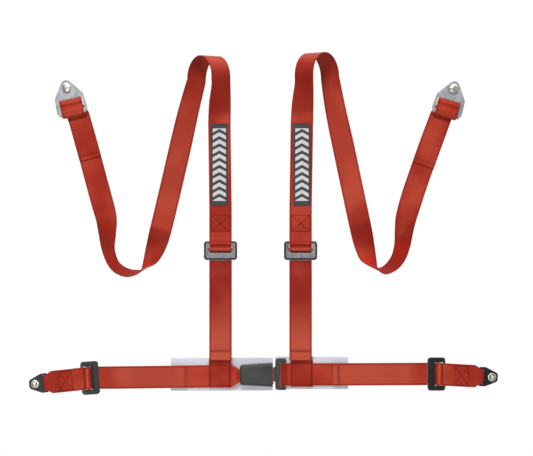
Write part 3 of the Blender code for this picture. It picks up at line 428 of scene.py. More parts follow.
def make_materials():
    webbings = {
        "webbing": (RED,),
        "webbing_lap": (RED, LAP_ZONES),
        # Front tails: the painted-shade red, with a painted highlight growing towards the hem.
        "webbing_lap_front": (PAINTED_SHADE_RED, ((10, 60, 600, 700, PAINTED_HIGHLIGHT, 0.50),)),
        "webbing_shoulder_front": (PAINTED_SHADE_RED, ((70, 190, 600, 700, PAINTED_HIGHLIGHT, 0.75),)),
        "webbing_long": (RED, LONG_ZONES),
        "webbing_turn": (RED, TURN_ZONES),
        # Patch in the painted-shade red; folded edges in the painted-highlight red.
        "webbing_patch": (PAINTED_SHADE_RED,),
        "webbing_fold": (PAINTED_LIT_RED,),
    }
    plastics = {
        "charcoal_plastic": ((0.042, 0.041, 0.041), (0.056, 0.055, 0.054), 1400.0, 0.48),
        "black_plastic": ((0.024, 0.024, 0.024), (0.038, 0.038, 0.037), 900.0, 0.34),
        "red_button_plastic": ((0.42, 0.018, 0.016), (0.50, 0.030, 0.026), 1400.0, 0.30),
        "dark_thread": ((0.030, 0.032, 0.036), (0.045, 0.048, 0.054), 900.0, 0.5),
    }
    platings = {
        "satin_grey_steel": ((0.22, 0.22, 0.23), (0.31, 0.31, 0.32), 0.40, True),
        "zinc_plate": ((0.37, 0.39, 0.41), (0.50, 0.52, 0.55), 0.45),
        "bright_zinc_bolt": ((0.56, 0.54, 0.47), (0.84, 0.81, 0.73), 0.30),
        "bright_steel": ((0.50, 0.50, 0.51), (0.68, 0.68, 0.69), 0.30, True),
        "spring_wire": ((0.36, 0.36, 0.38), (0.52, 0.52, 0.54), 0.32),
    }
    made = {name: webbing_material("red_" + name, *given) for name, given in webbings.items()}
    for name, given in plastics.items():
        made[name] = plastic_material(name, *given)
    for name, given in platings.items():
        made[name] = plated_material(name, *given)
    coat = ((0.009, 0.009, 0.010), (0.20, 0.20, 0.20), 0.32)
    made["black_steel"] = coated_material("black_coated_steel", *coat)
    made.update(thread=thread_material(), label=label_material(), pad=pad_material())
    return made


# ---------------------------------------------------------------- paths and outlines


class Local:
    """Local axes: u along the piece, v towards the back and w across."""

    def __init__(self, origin, u):
        self.origin = Vector(origin)
        self.u = Vector(u).normalized()
        self.v = Vector(BACK)
        self.w = self.u.cross(self.v)

    def point(self, u, v, w=0.0):
        return self.origin + self.u * u + self.v * v + self.w * w


FLAT = Local((0, 0, 0), (1, 0, 0))


def direction(sign, degrees):
    a = math.radians(degrees)
    return Vector((sign * math.cos(a), 0, math.sin(a)))


def clamp(share):
    return min(max(share, 0.0), 1.0)


def rounded_path(points, radii, steps):
    """A 2D polyline whose inner corners are turned into arcs."""
    path = [Vector(points[0])]
    for before, corner, after, r in zip(points, points[1:], points[2:], radii):
        corner = Vector(corner)
        a = (Vector(before) - corner).normalized()
        b = (Vector(after) - corner).normalized()
        half = a.angle(b) / 2
        centre = corner + (a + b).normalized() * (r / math.sin(half))
        start = corner + a * (r / math.tan(half)) - centre
        end = corner + b * (r / math.tan(half)) - centre
        turn = start.angle_signed(end)
        path += [centre + start @ Matrix.Rotation(turn * i / steps, 2) for i in range(steps + 1)]
    path.append(Vector(points[-1]))
    return path


def rounded_outline(corners, steps):
    """A closed outline from (u, w, radius) corners."""
    points = []
    for i, (u, w, radius) in enumerate(corners):
        before, after = corners[i - 1], corners[(i + 1) % len(corners)]
        path = rounded_path([before[:2], (u, w), after[:2]], [radius], steps)
        points += [tuple(p) for p in path[1:-1]]
    return points


def mirrored(corners):
    """Corners on one side of the middle line, then their mirror images in turn."""
    return corners + [(u, -w, radius) for u, w, radius in reversed(corners)]


def box_outline(u0, u1, w0, w1, radius=0.0, steps=6):
    if not radius:
        return [(u0, w0), (u1, w0), (u1, w1), (u0, w1)]
    points = []
    for number, (u, w) in enumerate(((u1, w1), (u0, w1), (u0, w0), (u1, w0))):
        centre = (u - radius if u == u1 else u + radius, w - radius if w == w1 else w + radius)
        for i in range(steps + 1):
            a = math.radians(90 * number + 90 * i / steps)
            points.append((centre[0] + radius * math.cos(a), centre[1] + radius * math.sin(a)))
    return points


def offset_loop(points, distance):
    """Move a closed outline's points inwards by a distance (outwards if negative)."""
    area = sum(a[0] * b[1] - b[0] * a[1] for a, b in zip(points, points[1:] + points[:1]))
    turn = 1 if area > 0 else -1
    moved = []
    for before, here, after in zip(points[-1:] + points, points, points[1:] + points[:1]):
        a = (Vector(here) - Vector(before)).normalized()
        b = (Vector(after) - Vector(here)).normalized()
        na, nb = Vector((-a.y, a.x)) * turn, Vector((-b.y, b.x)) * turn
        n = (na + nb).normalized()
        moved.append(tuple(Vector(here) + n * (distance / max(0.5, n.dot(na)))))
    return moved


def half_circle(centre, radius, start_angle, turn, steps):
    points = []
    for i in range(steps + 1):
        a = math.radians(start_angle + turn * i / steps)
        points.append(Vector(centre) + Vector((math.cos(a), math.sin(a))) * radius)
    return points


def in_local(local, path, half_width):
    return [(local.point(u, v), local.w * half_width) for u, v in path]


def taper(narrow, wide, start, end, bow=1.0):
    """Half width growing along u; bow under 1 makes the slope bulge outwards."""
    return lambda u: narrow + (wide - narrow) * clamp((u - start) / (end - start)) ** bow


def catmull(keys, samples=10):
    """(value, slope) along a smooth curve through the keys."""
    rows = [Vector(k) for k in keys]
    rows = [2 * rows[0] - rows[1]] + rows + [2 * rows[-1] - rows[-2]]
    found = []
    for a, b, c, d in zip(rows, rows[1:], rows[2:], rows[3:]):
        square, cube = 2 * a - 5 * b + 4 * c - d, 3 * b - a - 3 * c + d
        for i in range(samples):
            t = i / samples
            value = 0.5 * (2 * b + (c - a) * t + square * t * t + cube * t**3)
            found.append((value, 0.5 * ((c - a) + 2 * square * t + 3 * cube * t * t)))
    return found


def densify(stations, step):
    """Stations no further apart than step."""
    fine = []
    for (a, side_a), (b, side_b) in zip(stations, stations[1:]):
        count = max(1, math.ceil((b - a).length / step))
        for i in range(count):
            fine.append((a.lerp(b, i / count), side_a.lerp(side_b, i / count)))
    fine.append(stations[-1])
    return fine


def relax(stations, rounds):
    """Even out the kinks, leaving both ends."""
    for _ in range(rounds):
        smooth = [stations[0]]
        for before, here, after in zip(stations, stations[1:], stations[2:]):
            smooth.append(tuple(h * 0.5 + (b + a) * 0.25 for b, h, a in zip(before, here, after)))
        stations = smooth + [stations[-1]]
    return stations


# ---------------------------------------------------------------- mesh builders


def new_object(name, bm, materials, sharp=45):
    """An object shaded smooth up to the sharp angle, or with each face's own flag if that is None."""
    bmesh.ops.recalc_face_normals(bm, faces=bm.faces)
    mesh = bpy.data.meshes.new(name)
    bm.to_mesh(mesh)
    bm.free()
    for material in materials if isinstance(materials, list) else [materials]:
        mesh.materials.append(material)
    mesh.transform(Matrix.Translation(BUCKLE_AT))
    if sharp is not None:
        mesh.shade_smooth()
        mesh.set_sharp_from_angle(angle=math.radians(sharp))
    obj = bpy.data.objects.new(name, mesh)
    bpy.context.scene.collection.objects.link(obj)
    return obj


def skin(bm, rings, closed=True, material=0):
    """Faces between rings of equal length."""
    made = []
    for low, high in zip(rings, rings[1:]):
        for k in range(len(low)):
            j = (k + 1) % len(low)
            made.append(bm.faces.new((low[k], low[j], high[j], high[k])))
    if closed:
        made.append(bm.faces.new(rings[0]))
        made.append(bm.faces.new(reversed(rings[-1])))
    for face in made:
        face.material_index = material
    return made


def loop_round(half, thick):
    """(across, height) round a flat section, from one quarter of it that starts in the middle of a face."""
    top = [(-a, h) for a, h in reversed(half)] + half[1:]
    ring = [(-1.0, 0.0)] + top + [(1.0, 0.0)] + [(a, -h) for a, h in reversed(top)]
    return [(a, h * thick / 2) for a, h in ring]


# A flat face, a thicker corded edge and a round rim.
WEB_FACE = [(0.0, 1.0), (0.35, 1.0), (0.65, 1.0), (0.86, 1.0)]
WEB_FACE += [(0.91, 0.90), (0.945, 1.06), (0.975, 1.02), (0.992, 0.66)]
WEB_SECTION = loop_round(WEB_FACE, THICK)
PAD_SECTION = loop_round([(0.0, 1.0), (0.4, 1.02), (0.8, 1.0), (0.94, 0.95), (0.985, 0.7)], 0.0020)


def wobble(s, a, phases):
    """Slow waves of a hanging strap: its edges wander more than its middle."""
    wave = math.sin(s * 41 + phases[0]) * 0.5 + math.sin(s * 97 + phases[1]) * 0.3
    edge = a * math.sin(s * 63 + phases[2]) * 0.6 + a * a * math.sin(s * 29 + phases[3]) * 0.5
    return wave + edge


def strap(name, stations, material, step=0.003, ripple=0.0, section=WEB_SECTION):
    """A webbing strap with UVs in millimetres: across, and along."""
    stations = densify(stations, step)
    rng = random.Random(name)
    phases = [rng.uniform(0, 6.28) for _ in range(4)]
    bm = bmesh.new()
    layer = bm.loops.layers.uv.new("UVMap")
    rings, places, length = [], {}, 0.0
    for i, (centre, side) in enumerate(stations):
        before = stations[max(i - 1, 0)][0]
        after = stations[min(i + 1, len(stations) - 1)][0]
        if i:
            length += (centre - before).length
        normal = (after - before).cross(side).normalized()
        ring = []
        for a, h in section:
            vert = bm.verts.new(centre + side * a + normal * (h + ripple * wobble(length, a, phases)))
            places[vert] = (a * side.length * 1000, length * 1000)
            ring.append(vert)
        rings.append(ring)
    for face in skin(bm, rings):
        if len(face.verts) == 4:
            for loop in face.loops:
                loop[layer].uv = places[loop.vert]
    return new_object(name, bm, material)


STITCH_PITCH, STITCH_LENGTH, STITCH_RADIUS = 0.0034, 0.0029, 0.00040
SEWN_TWICE = (-0.0007, 0.0007)
# (place along, size, lift) of a plump stitch whose ends dive into the webbing.
STITCH = ((-1.0, 0.35, -0.9), (-0.6, 0.95, 0.1), (0.0, 1.0, 0.35), (0.6, 0.95, 0.1), (1.0, 0.35, -0.9))


def add_stitch(bm, middle, along, across, up):
    rings = []
    for place, size, lift in STITCH:
        ring = []
        for k in range(6):
            a = math.pi * k / 3
            round_it = (across * math.cos(a) + up * math.sin(a)) * size
            ring.append(bm.verts.new(middle + along * place + round_it + up * lift))
        rings.append(ring)
    skin(bm, rings)


def sew_line(bm, points, normal):
    """A lockstitched line on a surface, sewn over twice."""
    for start, end in zip(points, points[1:]):
        run = end - start
        along = run.normalized()
        across = along.cross(normal).normalized()
        count = max(1, round(run.length / STITCH_PITCH))
        axes = (along * (STITCH_LENGTH / 2), across * STITCH_RADIUS, normal * STITCH_RADIUS)
        for shift in SEWN_TWICE:
            for i in range(count):
                middle = start + across * shift + run * ((i + 0.5) / count)
                add_stitch(bm, middle, *axes)


def seam(name, local, lines, v, material):
    """Stitches along (u, w) lines on the front face at depth v."""
    bm = bmesh.new()
    for line in lines:
        sew_line(bm, [local.point(u, v, w) for u, w in line], Vector(FRONT))
    return new_object(name, bm, material)


def box_lines(u0, u1, half, cross=True):
    """A sewn box, with its diagonals."""
    lines = [[(u0, -half), (u1, -half), (u1, half), (u0, half), (u0, -half)]]
    if cross:
        lines += [[(u0, -half), (u1, half)], [(u0, half), (u1, -half)]]
    return lines


def cut_with(obj, cutter):
    cutter.hide_render = True
    cutter.display_type = "WIRE"
    modifier = obj.modifiers.new("cut_" + cutter.name, "BOOLEAN")
    modifier.operation = "DIFFERENCE"
    modifier.solver = "EXACT"
    modifier.object = cutter


def cut_flat(obj, name, loops, span, material):
    """Cut a shape drawn in the front view, an outline and its islands, from one depth to another."""
    bm = bmesh.new()
    edges = []
    for loop in loops:
        verts = [bm.verts.new(FLAT.point(u, span[0], w)) for u, w in loop]
        edges += [bm.edges.new((a, b)) for a, b in zip(verts, verts[1:] + verts[:1])]
    bmesh.ops.triangle_fill(bm, use_beauty=True, edges=edges, normal=FLAT.v)
    raised = bmesh.ops.extrude_face_region(bm, geom=bm.faces[:])
    moved = [g for g in raised["geom"] if isinstance(g, bmesh.types.BMVert)]
    bmesh.ops.translate(bm, verts=moved, vec=FLAT.v * (span[1] - span[0]))
    cut_with(obj, new_object(name, bm, material, 35))


def cut_box(obj, name, low, high, material):
    cut_flat(obj, name, [box_outline(low[0], high[0], low[2], high[2])], (low[1], high[1]), material)


def soft_plate(name, local, loops, half, material, bevel, steps=3):
    """A flat plate, an outline and its holes, with every edge rounded over and truly flat faces."""
    angles = [math.pi / 2 * i / steps for i in range(steps + 1)]
    front = [(-half + bevel * (1 - math.cos(a)), bevel * (1 - math.sin(a))) for a in angles]
    levels = front + [(-v, inset) for v, inset in reversed(front)]
    bm = bmesh.new()
    ends = {0: [], -1: []}
    for loop in loops:
        way = 1 if loop is loops[0] else -1
        rings = []
        for v, inset in levels:
            flat = offset_loop(loop, inset * way)
            rings.append([bm.verts.new(local.point(u, v, w)) for u, w in flat])
        for face in skin(bm, rings, closed=False):
            face.smooth = True
        for key, edges in ends.items():
            ring = rings[key]
            edges += [bm.edges.get((a, b)) for a, b in zip(ring, ring[1:] + ring[:1])]
    for edges in ends.values():
        filled = bmesh.ops.triangle_fill(bm, use_beauty=True, edges=edges, normal=local.v)
        for item in filled["geom"]:
            if isinstance(item, bmesh.types.BMFace):
                item.smooth = False
    return new_object(name, bm, material, None)


def axis_frame(centre, axis):
    """Takes a place on +Z through the origin to the axis through centre."""
    turn = Vector(axis).to_track_quat("Z", "Y").to_matrix()
    return lambda radius, angle, height: Vector(centre) + turn @ Vector(
        (radius * math.cos(angle), radius * math.sin(angle), height)
    )


def hexed(radius, angle):
    """A hexagon's radius at an angle, with its corners chamfered."""
    flat = (angle + math.pi / 6) % (math.pi / 3) - math.pi / 6
    return min(radius / math.cos(flat), radius * 1.13)


def turned(name, centre, axis, profile, material, count):
    """A solid of revolution from (radius, height) rows, hexagonal in rows with a third value. A row of radius 0
    closes an end."""
    at = axis_frame(centre, axis)
    bm = bmesh.new()
    rings = []
    for radius, height, *is_hex in profile:
        angles = [2 * math.pi * i / count for i in range(count if radius else 1)]
        rings.append([bm.verts.new(at(hexed(radius, a) if is_hex else radius, a, height)) for a in angles])
    pairs = list(zip(rings, rings[1:])) + ([(rings[-1], rings[0])] if profile[0][0] else [])
    for low, high in pairs:
        for i in range(count):
            j = (i + 1) % count
            if len(low) == 1:
                bm.faces.new((low[0], high[j], high[i]))
            elif len(high) == 1:
                bm.faces.new((low[i], low[j], high[0]))
            else:
                bm.faces.new((low[i], low[j], high[j], high[i]))
    return new_object(name, bm, material, 30)


def threaded_shank(name, centre, axis, low, high, material, radius=0.0055, pitch=0.0015, count=40):
    """A screw thread between two heights, closed at both ends, and a chamfered tip."""
    at = axis_frame(centre, axis)
    angles = [2 * math.pi * i / count for i in range(count)]
    bm = bmesh.new()
    rings = []
    rows = int((high - low) / (pitch / 6))
    for j in range(rows + 1):
        height = low + (high - low) * j / rows
        ring = []
        for i, a in enumerate(angles):
            phase = (height / pitch - i / count) % 1.0
            ring.append(bm.verts.new(at(radius - 0.0007 * abs(2 * phase - 1), a, height)))
        rings.append(ring)
    skin(bm, rings)
    tip = ((0.0049, high - 0.0002), (0.0042, high + 0.0012), (0.0036, high + 0.0017))
    skin(bm, [[bm.verts.new(at(r, a, h)) for a in angles] for r, h in tip])
    return new_object(name, bm, material, 60)


def bend(obj, first, second, start, end):
    """Bake the piece's placement into its mesh."""
    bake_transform(obj)


# ---------------------------------------------------------------- buckle

# (share of the depth, inset at the left and bottom, at the right and at the top)
CASE_FRONT = (
    (0.0, 0.0, 0.0, 0.0),
    (0.60, 0.0, 0.0, 0.0),
    (0.72, 0.0003, 0.0, 0.0003),
    (0.80, 0.0009, 0.0, 0.0009),
    (0.86, 0.0018, 0.0, 0.0018),
    (0.895, 0.0030, 0.0, 0.0040),
    (0.905, 0.0036, 0.0001, 0.0046),
    (0.955, 0.0040, 0.0002, 0.0050),
    (0.985, 0.0046, 0.0004, 0.0056),
    (1.0, 0.0060, 0.0009, 0.0070),
)
CASE_BACK = ((0.0, 0.0), (0.55, 0.0), (0.72, 0.0003), (0.85, 0.0008), (0.94, 0.0016), (1.0, 0.0028))


def cover(name, y_face, y_parting, levels, material):
    """One half of the casing, hollowed out."""
    depth = y_face - y_parting
    bm = bmesh.new()
    rings = []
    for share, low, right, top in levels:
        corners = [
            (-0.0365 + low, -0.0225 + low, 0.0055),
            (0.0367 - right, -0.0262 + low, 0.0020),
            (0.0367 - right, 0.0262 - top, 0.0020),
            (-0.0365 + low, 0.0215 - top, 0.0055),
        ]
        y = y_parting + depth * share
        rings.append([bm.verts.new((x, y, z)) for x, z in rounded_outline(corners, 8)])
    skin(bm, rings)
    tray = new_object(name, bm, material, 28)
    wall, past = math.copysign(0.0018, depth), math.copysign(0.002, depth)
    corners = [(-0.0353, -0.0202, 0.002), (0.0387, -0.0226, 0.001)]
    corners += [(0.0387, 0.0226, 0.001), (-0.0353, 0.0180, 0.002)]
    ends = sorted((y_parting - past, y_face - wall))
    cut_flat(tray, name + "_cavity", [rounded_outline(corners, 6)], ends, material)
    return tray


def buckle(mats):
    skin_of = mats["charcoal_plastic"]
    front = cover("buckle_case_front", -0.0130, -0.0012, CASE_FRONT, skin_of)
    back = cover("buckle_case_back", 0.0110, -0.0008, [(share, i, i, i) for share, i in CASE_BACK], skin_of)
    cut_box(front, "front_mouth", (-0.0385, -0.0036, -0.0192), (-0.0325, 0.0, 0.0132), skin_of)
    cut_box(back, "back_mouth", (-0.0385, -0.0030, -0.0192), (-0.0325, 0.0093, 0.0132), skin_of)
    cut_box(front, "panel_groove", (0.0338, -0.0140, -0.0300), (0.0344, -0.0126, 0.0300), skin_of)
    screw = [(0, -0.0130), (0.0021, -0.0130), (0.0021, -0.0088)]
    screw += [(0.0013, -0.0088), (0.0013, 0.0090), (0, 0.0090)]
    for name, z in (("upper", 0.0242), ("lower", -0.0242)):
        hole = turned(f"{name}_screw_hole", (0.018, 0, z), FRONT, screw, skin_of, 24)
        cut_with(front, hole)
        cut_with(back, hole)
    for obj, node in ((front, "buckle_front_cover"), (back, "buckle_rear_cover")):
        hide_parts(node)
        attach(obj, "buckle")


def button(mats):
    """The red slide, with its grooved thumb face."""
    red, face_x = mats["red_button_plastic"], 0.0386
    bm = bmesh.new()
    rings = []
    for x, inset in ((0.0150, 0.0), (face_x - 0.0012, 0.0), (face_x - 0.0004, 0.0003), (face_x, 0.0009)):
        outline = box_outline(-0.0105 + inset, -0.0036 - inset, -0.0202 + inset, 0.0172 - inset, 0.0012, 5)
        rings.append([bm.verts.new((x, y, z)) for y, z in outline])
    skin(bm, rings)
    obj = new_object("thumb_button", bm, red, 40)
    for i in range(9):
        z = -0.0155 + i * 0.0035
        cut_box(obj, f"thumb_groove_{i}", (0.0383, -0.0120, z), (0.0400, -0.0020, z + 0.0012), red)
    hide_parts("release_button")
    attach(obj, "button")


def tongue(mats):
    """The moulded cover round the tongue's slot."""
    black = mats["black_plastic"]
    bar_in, bar_out = TONGUE_BAR_X - 0.0036, TONGUE_BAR_X + 0.0036
    skirt = [
        (0.0390, -0.0155, 0.0012),
        (0.0420, -0.0160, 0.0015),
        (0.0432, -0.0340, 0.0048),
        (0.0662, -0.0345, 0.0030),
        (0.0665, -0.0265, 0.0010),
        (bar_out, -0.0262, 0.0010),
        (bar_out, 0.0262, 0.0010),
        (0.0665, 0.0265, 0.0010),
        (0.0662, 0.0365, 0.0035),
        (0.0432, 0.0360, 0.0048),
        (0.0420, 0.0180, 0.0015),
        (0.0390, 0.0170, 0.0012),
    ]
    opening = box_outline(bar_in - 0.0035, bar_in, -0.0262, 0.0267, 0.0006, 3)
    obj = soft_plate("tongue_casing", FLAT, [rounded_outline(skirt, 5), opening], 0.0020, black, 0.0008)
    hollow = [
        (0.0300, -0.0133, 0.0010),
        (0.0437, -0.0133, 0.0005),
        (0.0447, -0.0304, 0.0010),
        (bar_out - 0.0012, -0.0304, 0.0010),
        (bar_out - 0.0012, 0.0304, 0.0010),
        (0.0447, 0.0304, 0.0010),
        (0.0437, 0.0154, 0.0005),
        (0.0300, 0.0140, 0.0010),
    ]
    inner = box_outline(bar_in - 0.0051, bar_in + 0.0016, -0.0268, 0.0273)
    cut_flat(obj, "casing_cavity", [rounded_outline(hollow, 2), inner], (-0.0014, 0.0014), black)
    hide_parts("tongue_cover")
    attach(obj, "tongue")


def refinish(nodes, mats):
    """Give the nodes that are kept as they are their detailed finish, and give two springs meshes of their own.
    """
    springs = (
        ("latch_spring", "latch_lift", (0, 1, 0), (0, -0.0108, 0), 0.74),
        ("button_spring", "button_press", (1, 0, 0), (-0.002, 0, 0), 0.72),
    )
    for node, joint, axis, seat, keep in springs:
        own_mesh(nodes[node])
    finish = {
        "bright_steel": "buckle_frame latch_plate tongue_plate cover_screw_upper cover_screw_lower",
        "black_plastic": "ejector",
        "spring_wire": "latch_spring button_spring ejector_spring",
    }
    for key, names in finish.items():
        for node in names.split():
            for slot in nodes[node].material_slots:
                slot.material = mats[key]


# ---------------------------------------------------------------- adjusters, tails and bolts

ADJ_HALF, WINDOW_HALF = 0.0370, 0.0259  # across the adjuster, and its window
INNER_BAR, CENTRE_BAR, OUTER_BAR, INNER_SLOT = 0.0165, 0.0060, 0.0056, 0.0040
# A row is the depth, as a share of half the thickness, then the inset or the share of the way to the window.
RIM = ((0.0, 0.0), (0.5, 0.0), (0.85, 0.0004), (1.0, 0.0012), (0.98, 0.0027), (0.80, 0.0040))
SLOPE = ((0.80, 0.05), (0.76, 0.25), (0.66, 0.50), (0.52, 0.75), (0.36, 0.94), (0.10, 1.0))
BEHIND = ((0.5, 1.0), (0.75, 0.97), (0.95, 0.80), (0.95, 0.0))


def adjuster_bars(outer_slot):
    """Where the adjuster's bars start and end along the webbing, from its middle."""
    total = INNER_BAR + INNER_SLOT + CENTRE_BAR + outer_slot + OUTER_BAR
    inner = -total / 2
    centre = inner + INNER_BAR + INNER_SLOT
    return {
        "inner": inner,
        "inner_end": inner + INNER_BAR,
        "centre": centre,
        "centre_end": centre + CENTRE_BAR,
        "outer": total / 2 - OUTER_BAR,
        "end": total / 2,
    }


def adjuster(name, local, bars, materials, node):
    """A pressed frame: a rolled outer rim, faces sloping in to the window, and a round-edged centre bar."""

    def rim(inset):
        half = ADJ_HALF - inset
        return box_outline(bars["inner"] + inset, bars["end"] - inset, -half, half, 0.0070 - inset * 0.7, 8)

    def face(share):
        rim_edge = (bars["inner"] + 0.0040, bars["end"] - 0.0040, ADJ_HALF - 0.0040, 0.0040)
        window = (bars["inner_end"], bars["outer"], WINDOW_HALF, 0.0012)
        u0, u1, half, radius = [p + (q - p) * share for p, q in zip(rim_edge, window)]
        return box_outline(u0, u1, -half, half, radius, 8)

    loops = [(0, -v, rim(inset)) for v, inset in RIM]
    loops += [(1, -v, face(share)) for v, share in SLOPE]
    loops += [(1, v, face(share)) for v, share in BEHIND]
    loops += [(0, 1.0, rim(0.0012)), (0, 0.6, rim(0.0))]
    thick = ADJ_THICK / 2
    bm = bmesh.new()
    rings = [[bm.verts.new(local.point(u, v * thick, w)) for u, w in outline] for _, v, outline in loops]
    for (kind, _, _), low, high in zip(loops, rings, rings[1:] + rings[:1]):
        skin(bm, [low, high], closed=False, material=kind)
    outline = box_outline(bars["centre"], bars["centre_end"], -thick * 0.95, thick * 0.95, 0.0011, 5)
    reach = WINDOW_HALF + 0.0006
    skin(bm, [[bm.verts.new(local.point(u, v, w)) for u, v in outline] for w in (-reach, reach)])
    obj = new_object(name, bm, materials, 32)
    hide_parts(node)
    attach(obj, node)


def strap_turn(name, local, bars, slack, web, body, node):
    """The webbing from behind, over the centre bar in a full roll that laps the outer loop, and back."""
    tail, crown = FRAME_SET - PITCH, -0.0064
    start = bars["inner"] + 0.0001
    rise = bars["outer"] - BAR_CLEAR - slack - THICK - 0.0003
    fall = bars["centre"] - BAR_CLEAR
    points = [(start, FRAME_SET), (rise, FRAME_SET), (rise, -0.0012), (rise + 0.0018, crown)]
    points += [(fall - 0.0003, crown), (fall, tail), (start, tail)]
    path = rounded_path(points, [0.0012, 0.0016, 0.0026, 0.0036, 0.0018], 8)
    # The roll's crown carries a painted highlight between bands of painted shade.
    obj = strap(name, in_local(local, path, WEB), web, step=0.004)
    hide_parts(node)
    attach(obj, body)


def skewed(local, end_w):
    """Half the webbing's width along a bar that it meets at an angle."""
    return end_w * (WEB / local.w.dot(end_w))


def strap_tail(side, belt, local, bars, end_w, shape, mats):
    """The free end, its doubled hem and the hem's rows of stitching. shape is (length, drop, hem)."""
    length, drop, hem = shape
    node = f"{side}_{belt}_tail"
    tail = FRAME_SET - PITCH
    start = bars["inner"] - 0.0003
    free = tail - drop
    end = start - length
    points = [(start, tail), (start - 0.012, tail), (start - 0.036, free), (end, free)]
    path = rounded_path(points, [0.030, 0.030], 10)
    path += half_circle((end, free - PITCH / 2), PITCH / 2, 90, 180, 10)[1:]
    path.append(Vector((end + hem, free - PITCH)))
    stations = in_local(local, path, WEB)
    stations[0] = (stations[0][0], skewed(local, end_w))
    # The tail wears the painted-shade red, with a painted highlight towards its hem.
    obj = strap(f"{side}_{belt}_free_end", stations, mats[f"webbing_{belt}_front"], ripple=0.00012)
    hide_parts(node)
    ends = (local.point(start - 0.014, free), local.point(end + 0.018, free))
    bend(obj, f"{side}_{belt}_adjuster", node, *ends)
    face = free - PITCH - THICK / 2
    lines = [[(end + u, -0.0225), (end + u, 0.0225)] for u in (hem - 0.0023, hem - 0.0045)]
    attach(seam(f"{side}_{belt}_hem_stitch", local, lines, face, mats["thread"]), node)


BOLT_HEAD = [
    (0, -0.0090),
    (0.0066, -0.0090),
    (0.0078, -0.0084, "hex"),
    (0.0085, -0.0074, "hex"),
    (0.0085, -0.0036, "hex"),
    (0.0086, -0.0030),
    (0.0095, -0.0022),
    (0.0095, -0.0018),
    (0.0053, -0.0018),
    (0.0053, -0.0016),
    (0, -0.0016),
]
COLLAR = [(0.0058, 0.0018), (0.0090, 0.0018), (0.0096, 0.0022), (0.0096, 0.0058)]
COLLAR += [(0.0093, 0.0066), (0.0086, 0.0070), (0.0062, 0.0070), (0.0058, 0.0067)]
WASHER = [(0.0058, 0.0018), (0.0092, 0.0018), (0.0094, 0.0020)]
WASHER += [(0.0094, 0.0037), (0.0091, 0.0040), (0.0058, 0.0040)]


def bolt_set(side, belt, centre, axis, mats, ring, ring_name, shank_end):
    """A hexagon-headed bolt with a round flange, its threaded shank and the ring that holds it."""
    name, zinc = f"{side}_{belt}_bolt", mats["bright_zinc_bolt"]
    head = turned(name + "_head", centre, axis, BOLT_HEAD, zinc, 60)
    shank = threaded_shank(name + "_head_thread", centre, axis, -0.0018, shank_end, zinc)
    collar = turned(name + "_ring", centre, axis, ring, zinc, 60)
    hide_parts(name)
    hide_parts(f"{name}_{ring_name}")
    for obj in (head, shank, collar):
        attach(obj, name)


# ---------------------------------------------------------------- lap belt


def lap_strap(side, spec, local, reach, end_w, mats):
    """Round the buckle's or tongue's bar and out to the adjuster."""
    loop, lay = spec["lap_loop"], PITCH / 2
    run = loop * 2.6
    path = [(spec["fold_back"], lay), (run + 0.004, lay), (run, lay)]
    path += half_circle((0, 0), loop, 60, 240, 20)
    path += [(run, -lay), (run + 0.004, -lay), (reach, -lay)]
    stations = densify(in_local(local, path, WEB), 0.003)
    width = taper(spec["lap_end_half"], WEB, 0.0050, 0.0230, 0.8)
    narrow = spec["lap_end_half"] < WEB
    if narrow:
        stations = [(at, local.w * width((at - local.origin).dot(local.u))) for at, _ in stations]
        rolled_edges(side, local, width, mats)
    stations[-1] = (stations[-1][0], skewed(local, end_w))
    # The roll round the bar carries a painted highlight and painted shade.
    obj = strap(f"{side}_lap_webbing", stations, mats["webbing_lap"], ripple=0.00010)
    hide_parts(f"{side}_lap_strap")
    bend(obj, f"{side}_lap", f"{side}_lap_adjuster", local.point(0.1300, 0), local.point(reach - 0.010, 0))


def rolled_edges(side, local, width, mats):
    """The webbing's edges folded over where it narrows into the buckle."""
    turn = [2 * math.pi * k / 16 for k in range(16)]
    section = [(math.cos(a), 0.0008 * math.sin(a)) for a in turn]
    v = -PITCH / 2 - THICK / 2 - 0.0008
    for name, way in (("upper", 1), ("lower", -1)):
        stations = []
        for i in range(16):
            u = 0.0050 + 0.0180 * i / 15
            fold = 0.0034 * math.sin(math.pi * (0.5 + 0.47 * i / 15))
            stations.append((local.point(u, v, way * -(width(u) - fold - 0.0002)), local.w * fold))
        # The folded edges wear the painted-highlight red.
        obj = strap(f"{side}_folded_edge_{name}", stations, mats["webbing_fold"], step=0.002, section=section)
        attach(obj, f"{side}_lap")


